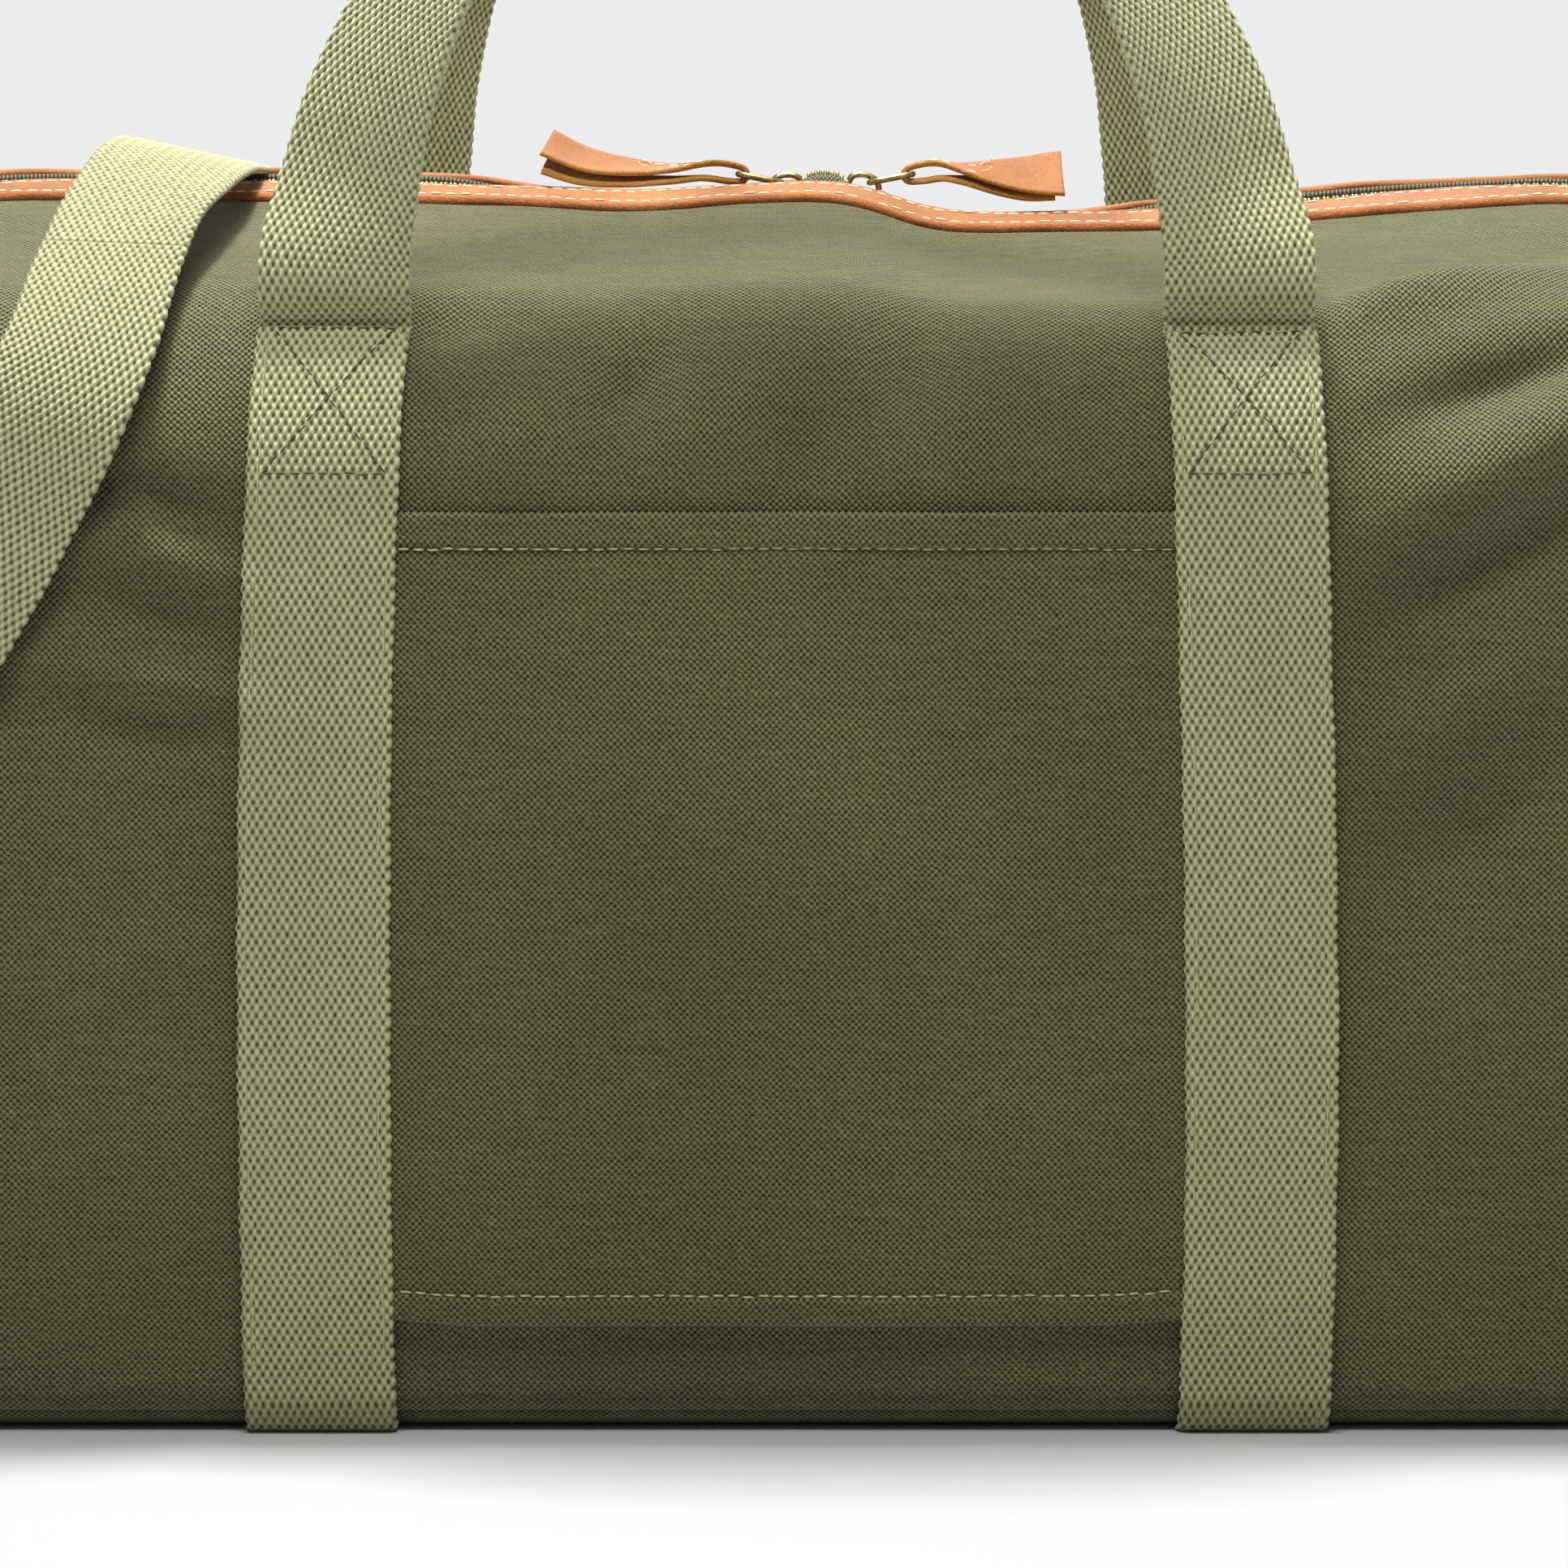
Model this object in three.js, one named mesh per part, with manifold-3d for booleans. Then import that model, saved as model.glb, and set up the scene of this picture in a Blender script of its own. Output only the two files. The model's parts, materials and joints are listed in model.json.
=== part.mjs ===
// A canvas duffel bag with webbing handles, a leather-faced zip and a shoulder strap.
// Millimetres, +Z up, +X along the bag, front at -Y. The origin is the centre of the base.

import * as THREE from 'three';
import { mergeVertices } from 'three/addons/utils/BufferGeometryUtils.js';
import Module from 'manifold-3d';

const wasm = await Module();
wasm.setup();

// ---------------------------------------------------------------- driving dimensions

const bagLength = 600;
const bagDepth = 290;
const bagHeight = 312;
const canvasThick = 1.4;
const baseRadius = 10;
const shoulderRadius = 50;
const roofSlope = THREE.MathUtils.degToRad(14);
const clearance = 0.3;

const webbingWidth = 38;
const webbingThick = 2.2;
const webbingFoot = 5;
const sewnTop = 274;
const handleSpacing = 234;
const handleRise = 148;
const handleLean = THREE.MathUtils.degToRad(5);
const handleTwist = THREE.MathUtils.degToRad(65);

const pocketBottom = 28;
const pocketTop = 232;
const pocketUnderWebbing = 10;

const facingThick = 1.8;
const facingWidth = 22;
const facingInner = 6.5;
const mouthHalf = 11;
const zipEndMargin = 16;
const tapeThick = 0.7;
const tapeWidth = 18;
const chainHalf = 3.1;
const chainGap = 1.6;
const chainThick = 3;
const endTabLength = 12;
const tabBridge = 2;

const sliderLength = 12;
const sliderPlate = 1.4;
const sliderFlange = 1;
const sliderPost = 0.8;
const sliderSideGap = 0.5;
const tapeSlot = 1;
const sliderSpacing = 21;
const weld = 0.1;
const crownLength = 9.3;
const crownRise = 4.5;
const crownBar = 1.3;
const crownWidth = 2.6;
const crownCorner = 1.6;
const linkPivotAside = 1.5;
const linkWire = 1.6;
const linkReach = 12;
const linkInnerWidth = 8;
const linkCorner = 0.8;
const linkTilt = THREE.MathUtils.degToRad(11);
const pullLength = 50;
const pullTipWidth = 20;
const pullNeckWidth = 7;
const pullLeather = 1.3;
const pullCorner = 2;
const pullEyeClearance = 0.2;

const bindingWidth = 10;
const bindingThick = 1.2;

const ringWire = 5;
const ringSideGap = 3;
const ringRadius = webbingWidth / 2 + ringSideGap + ringWire / 2;
const ringTabRise = 26;
const ringBarHeight = 262;
const ringTilt = THREE.MathUtils.degToRad(32);
const ringClearance = 0.6;
const hookInner = 9;
const hookWall = 4;
const hookThick = 5;
const gateThick = 3;
const gateCorner = 0.9;
const barrelRadius = 5;
const barrelLength = 13;
const pinRadius = 2.4;
const pinClearance = 0.4;
const eyeBar = 4.5;
const eyeSlot = 7;
const eyeThick = 4;
const buckleSideClearance = 1;
const rightHookSwing = THREE.MathUtils.degToRad(38);

const glideBar = 3.5;
const glideSlot = 6;
const glideThick = 2.5;
const strapSteps = 110;
const returnSteps = 16;

// ---------------------------------------------------------------- materials

function material(color, roughness, metalness) {
  return new THREE.MeshStandardMaterial({ color, roughness, metalness });
}

const canvas = material(0x5f5f3e, 0.95, 0);
const webbing = material(0xa0a276, 0.9, 0);
const leather = material(0xd98c5a, 0.7, 0);
const tapeCloth = material(0x6d6b55, 0.9, 0);
const brass = material(0xa89058, 0.4, 1);

const bag = new THREE.Group();

function add(name, geometry, finish, parent = bag) {
  const mesh = new THREE.Mesh(geometry, finish);
  mesh.name = name;
  parent.add(mesh);
  return mesh;
}

// ---------------------------------------------------------------- solids

function toSolid(geometry) {
  const bare = geometry.clone();
  bare.deleteAttribute('normal');
  bare.deleteAttribute('uv');
  const merged = mergeVertices(bare, 1e-4);
  const vertProperties = Float32Array.from(merged.attributes.position.array);
  const triVerts = Uint32Array.from(merged.index.array);
  return new wasm.Manifold(new wasm.Mesh({ numProp: 3, vertProperties, triVerts }));
}

function toGeometry(solid) {
  const mesh = solid.getMesh();
  const geometry = new THREE.BufferGeometry();
  geometry.setAttribute('position', new THREE.BufferAttribute(mesh.vertProperties, 3));
  geometry.setIndex(new THREE.BufferAttribute(mesh.triVerts, 1));
  return geometry;
}

function join(...geometries) {
  return toGeometry(geometries.map(toSolid).reduce((a, b) => a.add(b)));
}

function cut(geometry, ...tools) {
  return toGeometry(tools.map(toSolid).reduce((a, b) => a.subtract(b), toSolid(geometry)));
}

function block(low, high) {
  const size = high.map((value, i) => value - low[i]);
  const middle = high.map((value, i) => (value + low[i]) / 2);
  return new THREE.BoxGeometry(...size).translate(...middle);
}

const axisX = new THREE.Vector3(1, 0, 0);
const axisY = new THREE.Vector3(0, 1, 0);
const axisZ = new THREE.Vector3(0, 0, 1);

// A shape drawn in (y, z), carried along X from x0 to x1.
function alongX(shape, x0, x1, curveSegments = 8) {
  const options = { depth: x1 - x0, bevelEnabled: false, curveSegments };
  const turned = new THREE.Matrix4().makeBasis(axisY, axisZ, axisX);
  return new THREE.ExtrudeGeometry(shape, options).applyMatrix4(turned).translate(x0, 0, 0);
}

// A shape drawn in (x, z), centred on y = 0 with the given thickness.
function acrossY(shape, thickness, curveSegments = 8) {
  const options = { depth: thickness, bevelEnabled: false, curveSegments };
  const turned = new THREE.Matrix4().makeBasis(axisX, axisZ, axisY.clone().negate());
  const geometry = new THREE.ExtrudeGeometry(shape, options).applyMatrix4(turned);
  return geometry.translate(0, thickness / 2, 0);
}

// A shape drawn in (x, y), centred on z = 0 with the given thickness.
function acrossZ(shape, thickness) {
  const options = { depth: thickness, bevelEnabled: false };
  return new THREE.ExtrudeGeometry(shape, options).translate(0, 0, -thickness / 2);
}

// A closed strip of rectangular section through stations of {point, normal}.
function ribbon(stations, width, thickness) {
  const corners = [[-1, -1], [1, -1], [1, 1], [-1, 1]];
  const positions = [];
  const index = [];
  stations.forEach((station, i) => {
    const before = stations[Math.max(i - 1, 0)].point;
    const after = stations[Math.min(i + 1, stations.length - 1)].point;
    const tangent = after.clone().sub(before).normalize();
    const side = tangent.clone().cross(station.normal).normalize();
    const normal = side.clone().cross(tangent);
    for (const [a, b] of corners) {
      const corner = station.point.clone();
      corner.addScaledVector(side, (a * width) / 2);
      corner.addScaledVector(normal, (b * thickness) / 2);
      positions.push(corner.x, corner.y, corner.z);
    }
  });
  for (let i = 0; i + 1 < stations.length; i += 1) {
    for (let k = 0; k < 4; k += 1) {
      const a = 4 * i + k;
      const b = 4 * i + ((k + 1) % 4);
      index.push(a, b + 4, b, a, a + 4, b + 4);
    }
  }
  const last = 4 * (stations.length - 1);
  index.push(0, 1, 2, 0, 2, 3);
  index.push(last, last + 2, last + 1, last, last + 3, last + 2);
  const geometry = new THREE.BufferGeometry();
  geometry.setAttribute('position', new THREE.Float32BufferAttribute(positions, 3));
  geometry.setIndex(index);
  return geometry;
}

// Stations spread evenly along smooth curves through hand-placed points and normals.
function smoothStations(route, steps) {
  const points = new THREE.CatmullRomCurve3(route.map(([p]) => new THREE.Vector3(...p)));
  const normals = new THREE.CatmullRomCurve3(route.map(([, n]) => new THREE.Vector3(...n)));
  const stations = [];
  for (let i = 0; i <= steps; i += 1) {
    const t = points.getUtoTmapping(i / steps);
    stations.push({ point: points.getPoint(t), normal: normals.getPoint(t).normalize() });
  }
  return stations;
}

// ---------------------------------------------------------------- the bag's cross-section

// Half of the outer canvas outline, from the middle of the base round the front to the zip.
// Each knot holds its place, its outward normal and its distance along the outline.
function halfOutline() {
  const half = bagDepth / 2;
  const cos = Math.cos(roofSlope);
  const sin = Math.sin(roofSlope);
  const roofStart = half - shoulderRadius + shoulderRadius * sin;
  const roofRise = (roofStart - mouthHalf) * Math.tan(roofSlope);
  const shoulderHeight = bagHeight - roofRise - shoulderRadius * cos;
  const knots = [{ y: 0, z: 0, ny: 0, nz: -1 }];
  const arc = (y, z, radius, from, to, steps) => {
    for (let i = 0; i <= steps; i += 1) {
      const angle = from + ((to - from) * i) / steps;
      const ny = -Math.cos(angle);
      const nz = Math.sin(angle);
      knots.push({ y: y + radius * ny, z: z + radius * nz, ny, nz });
    }
  };
  arc(baseRadius - half, baseRadius, baseRadius, -Math.PI / 2, 0, 5);
  arc(shoulderRadius - half, shoulderHeight, shoulderRadius, 0, Math.PI / 2 - roofSlope, 9);
  const crest = bagHeight + mouthHalf * Math.tan(roofSlope);
  knots.push({ y: 0, z: crest, ny: -sin, nz: cos });
  let length = 0;
  knots.forEach((knot, i) => {
    const last = knots[Math.max(i - 1, 0)];
    length += Math.hypot(knot.y - last.y, knot.z - last.z);
    knot.length = length;
  });
  return knots;
}

const outline = halfOutline();

function outlineAt(length) {
  const next = Math.max(1, outline.findIndex((knot) => knot.length >= length));
  const a = outline[next - 1];
  const b = outline[next];
  const t = (length - a.length) / (b.length - a.length);
  const mixed = { length };
  for (const key of ['y', 'z', 'ny', 'nz']) mixed[key] = a[key] + (b[key] - a[key]) * t;
  const size = Math.hypot(mixed.ny, mixed.nz);
  mixed.ny /= size;
  mixed.nz /= size;
  return mixed;
}

// How far along the outline it first reaches a height on the side of the bag.
function lengthAtHeight(height) {
  const next = outline.findIndex((knot) => knot.z >= height && knot.length > 0);
  const a = outline[next - 1];
  const b = outline[next];
  return a.length + ((height - a.z) / (b.z - a.z)) * (b.length - a.length);
}

// How far along the outline the roof comes within this distance of the zip.
function lengthOnRoof(distance) {
  const end = outline[outline.length - 1];
  return end.length - distance / Math.cos(roofSlope);
}

function offsetPoint(place, offset, side) {
  return new THREE.Vector2(side * (place.y + place.ny * offset), place.z + place.nz * offset);
}

// A layer that follows the outline, between two offsets from the canvas's outer face.
function layer(from, to, inner, outer, side = 1) {
  const inside = outline.filter((knot) => knot.length > from && knot.length < to);
  const places = [outlineAt(from), ...inside, outlineAt(to)];
  const shape = places.map((place) => offsetPoint(place, outer, side));
  shape.push(...places.reverse().map((place) => offsetPoint(place, inner, side)));
  return new THREE.Shape(shape);
}

// The whole outline, anticlockwise, at an offset from the canvas's outer face.
function wholeOutline(offset) {
  const bends = outline.slice(1, -1);
  const front = bends.map((place) => offsetPoint(place, offset, 1));
  const rear = bends.map((place) => offsetPoint(place, offset, -1)).reverse();
  const crest = outline[outline.length - 1].z + offset / Math.cos(roofSlope);
  return [...front, new THREE.Vector2(0, crest), ...rear].reverse();
}

// ---------------------------------------------------------------- canvas shell

const endInner = bagLength / 2 - canvasThick;
const seamLength = lengthAtHeight(webbingFoot);
const mouthLength = lengthOnRoof(mouthHalf);
const sides = { front: 1, rear: -1 };
const ends = { left: -1, right: 1 };

function buildShell() {
  const reach = endInner - clearance;
  const front = layer(0, seamLength, -canvasThick, 0, 1);
  const rear = layer(0, seamLength, -canvasThick, 0, -1);
  add('base_panel', join(alongX(front, -reach, reach), alongX(rear, -reach, reach)), canvas);
  for (const [name, side] of Object.entries(sides)) {
    const panel = layer(seamLength + clearance, mouthLength, -canvasThick, 0, side);
    add(`${name}_panel`, alongX(panel, -reach, reach), canvas);
  }
  const endPanel = new THREE.Shape(wholeOutline(0));
  const tapeFace = new THREE.Shape(wholeOutline(-canvasThick - clearance));
  tapeFace.holes.push(new THREE.Path(wholeOutline(-canvasThick - clearance - bindingThick)));
  for (const [name, end] of Object.entries(ends)) {
    const panel = end < 0 ? [-bagLength / 2, -endInner] : [endInner, bagLength / 2];
    add(`end_panel_${name}`, alongX(endPanel, ...panel), canvas);
    const outer = end * reach;
    const inner = end * (reach - bindingWidth);
    const span = [Math.min(outer, inner), Math.max(outer, inner)];
    add(`seam_binding_${name}`, alongX(tapeFace, ...span), tapeCloth);
  }
}

function buildPocket() {
  const reach = handleSpacing / 2 + pocketUnderWebbing;
  const from = lengthAtHeight(pocketBottom);
  const to = lengthAtHeight(pocketTop);
  const sheet = layer(from, to, clearance, clearance + canvasThick);
  add('front_pocket', alongX(sheet, -reach, reach), canvas);
}

// ---------------------------------------------------------------- webbing and handles

const webbingInner = 2 * clearance + canvasThick;
const webbingOuter = webbingInner + webbingThick;

function buildSewnWebbing() {
  for (const [name, side] of Object.entries(sides)) {
    const strip = layer(seamLength, lengthAtHeight(sewnTop), webbingInner, webbingOuter, side);
    for (const [hand, end] of Object.entries(ends)) {
      const middle = (end * handleSpacing) / 2;
      const span = [middle - webbingWidth / 2, middle + webbingWidth / 2];
      add(`${name}_webbing_${hand}`, alongX(strip, ...span), webbing);
    }
  }
}

// The line that a handle turns on: just past the sewn end, and one webbing proud of it.
function handleFoot() {
  const place = outlineAt(lengthAtHeight(sewnTop));
  const proud = webbingOuter + webbingThick / 2 + clearance;
  const past = webbingThick;
  return {
    y: place.y + place.ny * proud + place.nz * past,
    z: place.z + place.nz * proud - place.ny * past,
  };
}

function buildHandles() {
  const foot = handleFoot();
  const steps = 44;
  for (const [name, side] of Object.entries(sides)) {
    const stations = [];
    for (let i = 0; i <= steps; i += 1) {
      const angle = (Math.PI * i) / steps;
      const up = handleRise * Math.sin(angle);
      const across = (-handleSpacing / 2) * Math.cos(angle);
      const fromFoot = Math.min(i, steps - i) / (steps / 2);
      const twist = handleTwist * (1 - (1 - fromFoot) ** 2);
      const slope = Math.atan2((handleSpacing / 2) * Math.sin(angle), handleRise * Math.cos(angle));
      const facing = new THREE.Vector3(
        -Math.sin(twist) * Math.cos(slope),
        -Math.cos(twist),
        Math.sin(twist) * Math.sin(slope),
      );
      const point = new THREE.Vector3(across, up * Math.sin(handleLean), up * Math.cos(handleLean));
      stations.push({
        point: new THREE.Vector3(point.x, side * (foot.y + point.y), foot.z + point.z),
        normal: new THREE.Vector3(facing.x, side * facing.y, facing.z),
      });
    }
    add(`${name}_handle`, ribbon(stations, webbingWidth, webbingThick), webbing);
  }
}

// ---------------------------------------------------------------- zip

const zipReach = bagLength / 2 - zipEndMargin;
const chainHeight = bagHeight + mouthHalf * Math.tan(roofSlope) - canvasThick - chainThick / 2;

function buildZip() {
  const tapeOuter = -canvasThick - clearance;
  for (const [name, side] of Object.entries(sides)) {
    const edge = lengthOnRoof(facingInner);
    const face = layer(edge - facingWidth, edge, clearance, clearance + facingThick, side);
    add(`leather_facing_${name}`, alongX(face, -zipReach, zipReach), leather);
    const lean = Math.sin(roofSlope) * (tapeThick - tapeOuter);
    const bead = lengthOnRoof(chainHalf + clearance + lean);
    const tape = layer(bead - tapeWidth, bead, tapeOuter - tapeThick, tapeOuter, side);
    add(`zip_tape_${name}`, alongX(tape, -zipReach, zipReach), tapeCloth);
    const low = side > 0 ? -chainHalf : chainGap / 2;
    const high = side > 0 ? -chainGap / 2 : chainHalf;
    const bar = block(
      [-zipReach, low, chainHeight - chainThick / 2],
      [zipReach, high, chainHeight + chainThick / 2],
    );
    add(`zip_teeth_${name}`, bar, brass);
  }
}

// A leather tab over each end of the zip, bridging the two facings.
function buildZipEndTabs() {
  const edge = outline[outline.length - 1].length;
  const from = edge - facingWidth / 2 - facingInner;
  const inner = clearance * 2 + facingThick;
  const strip = (side) => layer(from, edge, inner, inner + facingThick, side);
  for (const [name, end] of Object.entries(ends)) {
    const middle = end * (zipReach - endTabLength / 2);
    const span = [middle - endTabLength / 2, middle + endTabLength / 2];
    const halves = [1, -1].map((side) => alongX(strip(side), ...span));
    const ridge = bagHeight + mouthHalf * Math.tan(roofSlope) + inner;
    const low = [span[0], -tabBridge / 2, ridge];
    const bridge = block(low, [span[1], tabBridge / 2, ridge + facingThick]);
    add(`zip_end_tab_${name}`, join(...halves, bridge), leather);
  }
}

// ---------------------------------------------------------------- sliders and pulls

const sliderHalf = chainHalf + sliderFlange + sliderSideGap;
const plateTop = chainHeight + chainThick / 2 + clearance + sliderPlate;
const linkPivotHeight = plateTop + (crownRise - crownBar) / 2;

function roundedRectangle(x0, x1, y0, y1, radius, Kind = THREE.Shape) {
  const centres = [
    [x1 - radius, y0 + radius],
    [x1 - radius, y1 - radius],
    [x0 + radius, y1 - radius],
    [x0 + radius, y0 + radius],
  ];
  const steps = 3;
  const points = [];
  centres.forEach(([x, y], corner) => {
    for (let i = 0; i <= steps; i += 1) {
      const angle = (Math.PI / 2) * (corner - 1 + i / steps);
      points.push(new THREE.Vector2(x + radius * Math.cos(angle), y + radius * Math.sin(angle)));
    }
  });
  return new Kind(points);
}

function sliderGeometry() {
  const half = sliderLength / 2;
  const top = chainHeight + chainThick / 2 + clearance;
  const bottom = chainHeight - chainThick / 2 - clearance;
  const flangeInner = sliderHalf - sliderFlange;
  const post = sliderPost / 2;
  const plates = [
    block([-half, -sliderHalf, top], [half, sliderHalf, plateTop]),
    block([-half, -sliderHalf, bottom - sliderPlate], [half, sliderHalf, bottom]),
    block([-half / 2, -post, bottom - weld], [half / 2, post, top + weld]),
  ];
  for (const side of [-1, 1]) {
    const y = [side * flangeInner, side * sliderHalf].sort((a, b) => a - b);
    plates.push(block([-half, y[0], top - tapeSlot], [half, y[1], top + weld]));
    plates.push(block([-half, y[0], bottom - weld], [half, y[1], bottom + clearance]));
  }
  const outside = crownLength / 2;
  const arch = roundedRectangle(-outside, outside, -sliderPlate / 2, crownRise, crownCorner);
  const inside = [crownBar - outside, outside - crownBar, weld / 2, crownRise - crownBar];
  arch.holes.push(roundedRectangle(...inside, crownCorner / 2, THREE.Path));
  const crown = acrossY(arch, crownWidth).translate(0, 0, plateTop);
  return join(...plates, crown);
}

// The link lies along -X from its pivot at the origin, with its wire ends along Y.
function linkGeometry() {
  const wide = linkInnerWidth / 2 + linkWire;
  const near = linkWire / 2;
  const far = -linkReach - linkWire / 2;
  const loop = roundedRectangle(far, near, -wide, wide, linkWire + linkCorner);
  const hole = [far + linkWire, near - linkWire, linkWire - wide, wide - linkWire];
  loop.holes.push(roundedRectangle(...hole, linkCorner, THREE.Path));
  return acrossZ(loop, linkWire);
}

// Leather folded double round the link, pivot at the origin and tip towards -X.
function pullGeometry() {
  const eye = linkWire * Math.SQRT1_2 + pullEyeClearance;
  const fold = eye + pullLeather;
  const flat = pullLeather + weld;
  const flatFrom = -2.5 * fold;
  const profile = new THREE.Shape();
  profile.moveTo(-pullLength, -flat);
  profile.lineTo(flatFrom, -flat);
  profile.lineTo(-fold / 2, -fold);
  profile.absarc(0, 0, fold, -Math.PI / 2, Math.PI / 2);
  profile.lineTo(-fold / 2, fold);
  profile.lineTo(flatFrom, flat);
  profile.lineTo(-pullLength, flat);
  profile.holes.push(new THREE.Path().absarc(0, 0, eye, 0, Math.PI * 2));
  const neck = pullNeckWidth / 2;
  const tip = pullTipWidth / 2;
  const plan = new THREE.Shape([
    new THREE.Vector2(2 * fold, -neck),
    new THREE.Vector2(2 * fold, neck),
    new THREE.Vector2(flatFrom, neck),
    new THREE.Vector2(-pullLength + pullCorner, tip),
    new THREE.Vector2(-pullLength, tip - pullCorner),
    new THREE.Vector2(-pullLength, pullCorner - tip),
    new THREE.Vector2(-pullLength + pullCorner, -tip),
    new THREE.Vector2(flatFrom, -neck),
  ]);
  const solid = toSolid(acrossY(profile, pullTipWidth, 6));
  return toGeometry(solid.intersect(toSolid(acrossZ(plan, 4 * fold))));
}

function buildSliders() {
  for (const [name, end] of Object.entries(ends)) {
    const carrier = new THREE.Group();
    carrier.position.x = end < 0 ? 0 : sliderSpacing;
    bag.add(carrier);
    add(`zip_slider_${name}`, sliderGeometry(), brass, carrier);
    const pivot = new THREE.Group();
    pivot.position.set(end * linkPivotAside, 0, linkPivotHeight);
    pivot.rotation.z = end < 0 ? 0 : Math.PI;
    carrier.add(pivot);
    const link = new THREE.Group();
    link.rotation.y = linkTilt;
    pivot.add(link);
    add(`pull_link_${name}`, linkGeometry(), brass, link);
    const pull = new THREE.Group();
    pull.position.x = -linkReach;
    link.add(pull);
    add(`leather_pull_${name}`, pullGeometry(), leather, pull);
  }
}

// ---------------------------------------------------------------- D-rings and snap hooks

const barHole = (ringWire / 2) * Math.SQRT2 + ringClearance;
const tabLoop = barHole + webbingThick;
const ringBarX = bagLength / 2 + clearance + tabLoop;

// A webbing tab sewn to the end panel and looped under the ring's straight bar.
function buildRingTabs() {
  for (const [name, end] of Object.entries(ends)) {
    const face = bagLength / 2 + clearance;
    const shape = new THREE.Shape();
    shape.moveTo(face, ringBarHeight);
    shape.absarc(ringBarX, ringBarHeight, tabLoop, Math.PI, 2 * Math.PI);
    shape.absarc(ringBarX, ringBarHeight, tabLoop, 0, Math.PI / 3);
    shape.lineTo(face + 2 * webbingThick, ringBarHeight + 2.2 * tabLoop);
    shape.lineTo(face + 2 * webbingThick, ringBarHeight + ringTabRise);
    shape.lineTo(face, ringBarHeight + ringTabRise);
    const hole = new THREE.Path().absarc(ringBarX, ringBarHeight, barHole, 0, 2 * Math.PI);
    shape.holes.push(hole);
    const geometry = acrossY(shape, webbingWidth);
    if (end < 0) geometry.rotateZ(Math.PI);
    add(`ring_tab_${name}`, geometry, webbing);
  }
}

// A half-round ring hanging from its straight bar, drawn in the YZ plane.
function dRingGeometry() {
  const outer = ringRadius + ringWire / 2;
  const inner = ringRadius - ringWire / 2;
  const half = ringWire / 2;
  const shape = new THREE.Shape();
  shape.moveTo(-outer, half);
  shape.absarc(0, 0, outer, Math.PI, 2 * Math.PI);
  shape.lineTo(outer, half);
  const hole = new THREE.Path();
  const start = Math.asin(half / inner);
  hole.absarc(0, 0, inner, Math.PI + start, 2 * Math.PI - start);
  shape.holes.push(hole);
  return alongX(shape, -half, half, 12);
}

// Heights in a hook's own frame, measured down from the middle of its round mouth.
const hookOuter = hookInner + hookWall;
const ringInMouth = hookInner - ringWire * Math.SQRT1_2 - clearance;
const barrelTop = -hookInner - hookWall / 2;
const barrelFoot = barrelTop - hookWall - barrelLength;
const headThick = 1.4;
const headRadius = pinRadius + 1;
const headFoot = -Math.sqrt(hookInner ** 2 - headRadius ** 2) + 1.5 * clearance;
const eyeTop = barrelFoot - clearance;
const eyeFoot = eyeTop - 2 * eyeBar - eyeSlot;
const mouthFrom = THREE.MathUtils.degToRad(-42);
const mouthTo = THREE.MathUtils.degToRad(28);

function snapHookGeometry() {
  const shape = new THREE.Shape();
  shape.absarc(0, 0, hookOuter, mouthTo, 2 * Math.PI + mouthFrom);
  shape.absarc(0, 0, hookInner, 2 * Math.PI + mouthFrom, mouthTo, true);
  const claw = acrossY(shape, hookThick, 20);
  const barrel = new THREE.CylinderGeometry(barrelRadius, barrelRadius, barrelLength + hookWall, 12);
  barrel.rotateX(Math.PI / 2).translate(0, 0, (barrelTop + barrelFoot) / 2);
  const bore = new THREE.CylinderGeometry(1, 1, 2 * barrelLength + 2 * hookWall, 12);
  bore.scale(pinRadius + pinClearance, 1, pinRadius + pinClearance);
  bore.rotateX(Math.PI / 2).translate(0, 0, (barrelTop + barrelFoot) / 2);
  return cut(join(claw, barrel), bore);
}

// The gate closes the mouth from above the lower jaw and turns about its lower end.
const gateX = (hookInner + hookOuter) / 2;
const gateFoot = hookOuter * Math.sin(mouthFrom) + gateThick / 2 + 2 * clearance;
const gateTip = hookInner * Math.sin(mouthTo) - 2 * clearance;

function gateGeometry() {
  const half = gateThick / 2;
  const shape = roundedRectangle(-half, half, -half, gateTip - gateFoot, gateCorner);
  return acrossY(shape, hookThick - 2 * clearance);
}

function swivelEyeGeometry() {
  const wide = webbingWidth / 2 + buckleSideClearance + eyeBar;
  const frame = roundedRectangle(-wide, wide, eyeFoot, eyeTop, 2);
  const slot = [eyeBar - wide, wide - eyeBar, eyeFoot + eyeBar, eyeTop - eyeBar];
  frame.holes.push(roundedRectangle(...slot, 1, THREE.Path));
  const loop = acrossY(frame, eyeThick).rotateZ(Math.PI / 2);
  const pinLength = headFoot - eyeTop + 1;
  const pin = new THREE.CylinderGeometry(pinRadius, pinRadius, pinLength, 12);
  pin.rotateX(Math.PI / 2).translate(0, 0, eyeTop - 0.5 + pinLength / 2);
  const head = new THREE.CylinderGeometry(headRadius, headRadius, headThick, 12);
  head.rotateX(Math.PI / 2).translate(0, 0, headFoot + headThick / 2);
  return join(loop, pin, head);
}

// Where a strap meets each swivel eye, and which way it leaves.
const strapEnds = {};

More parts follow.
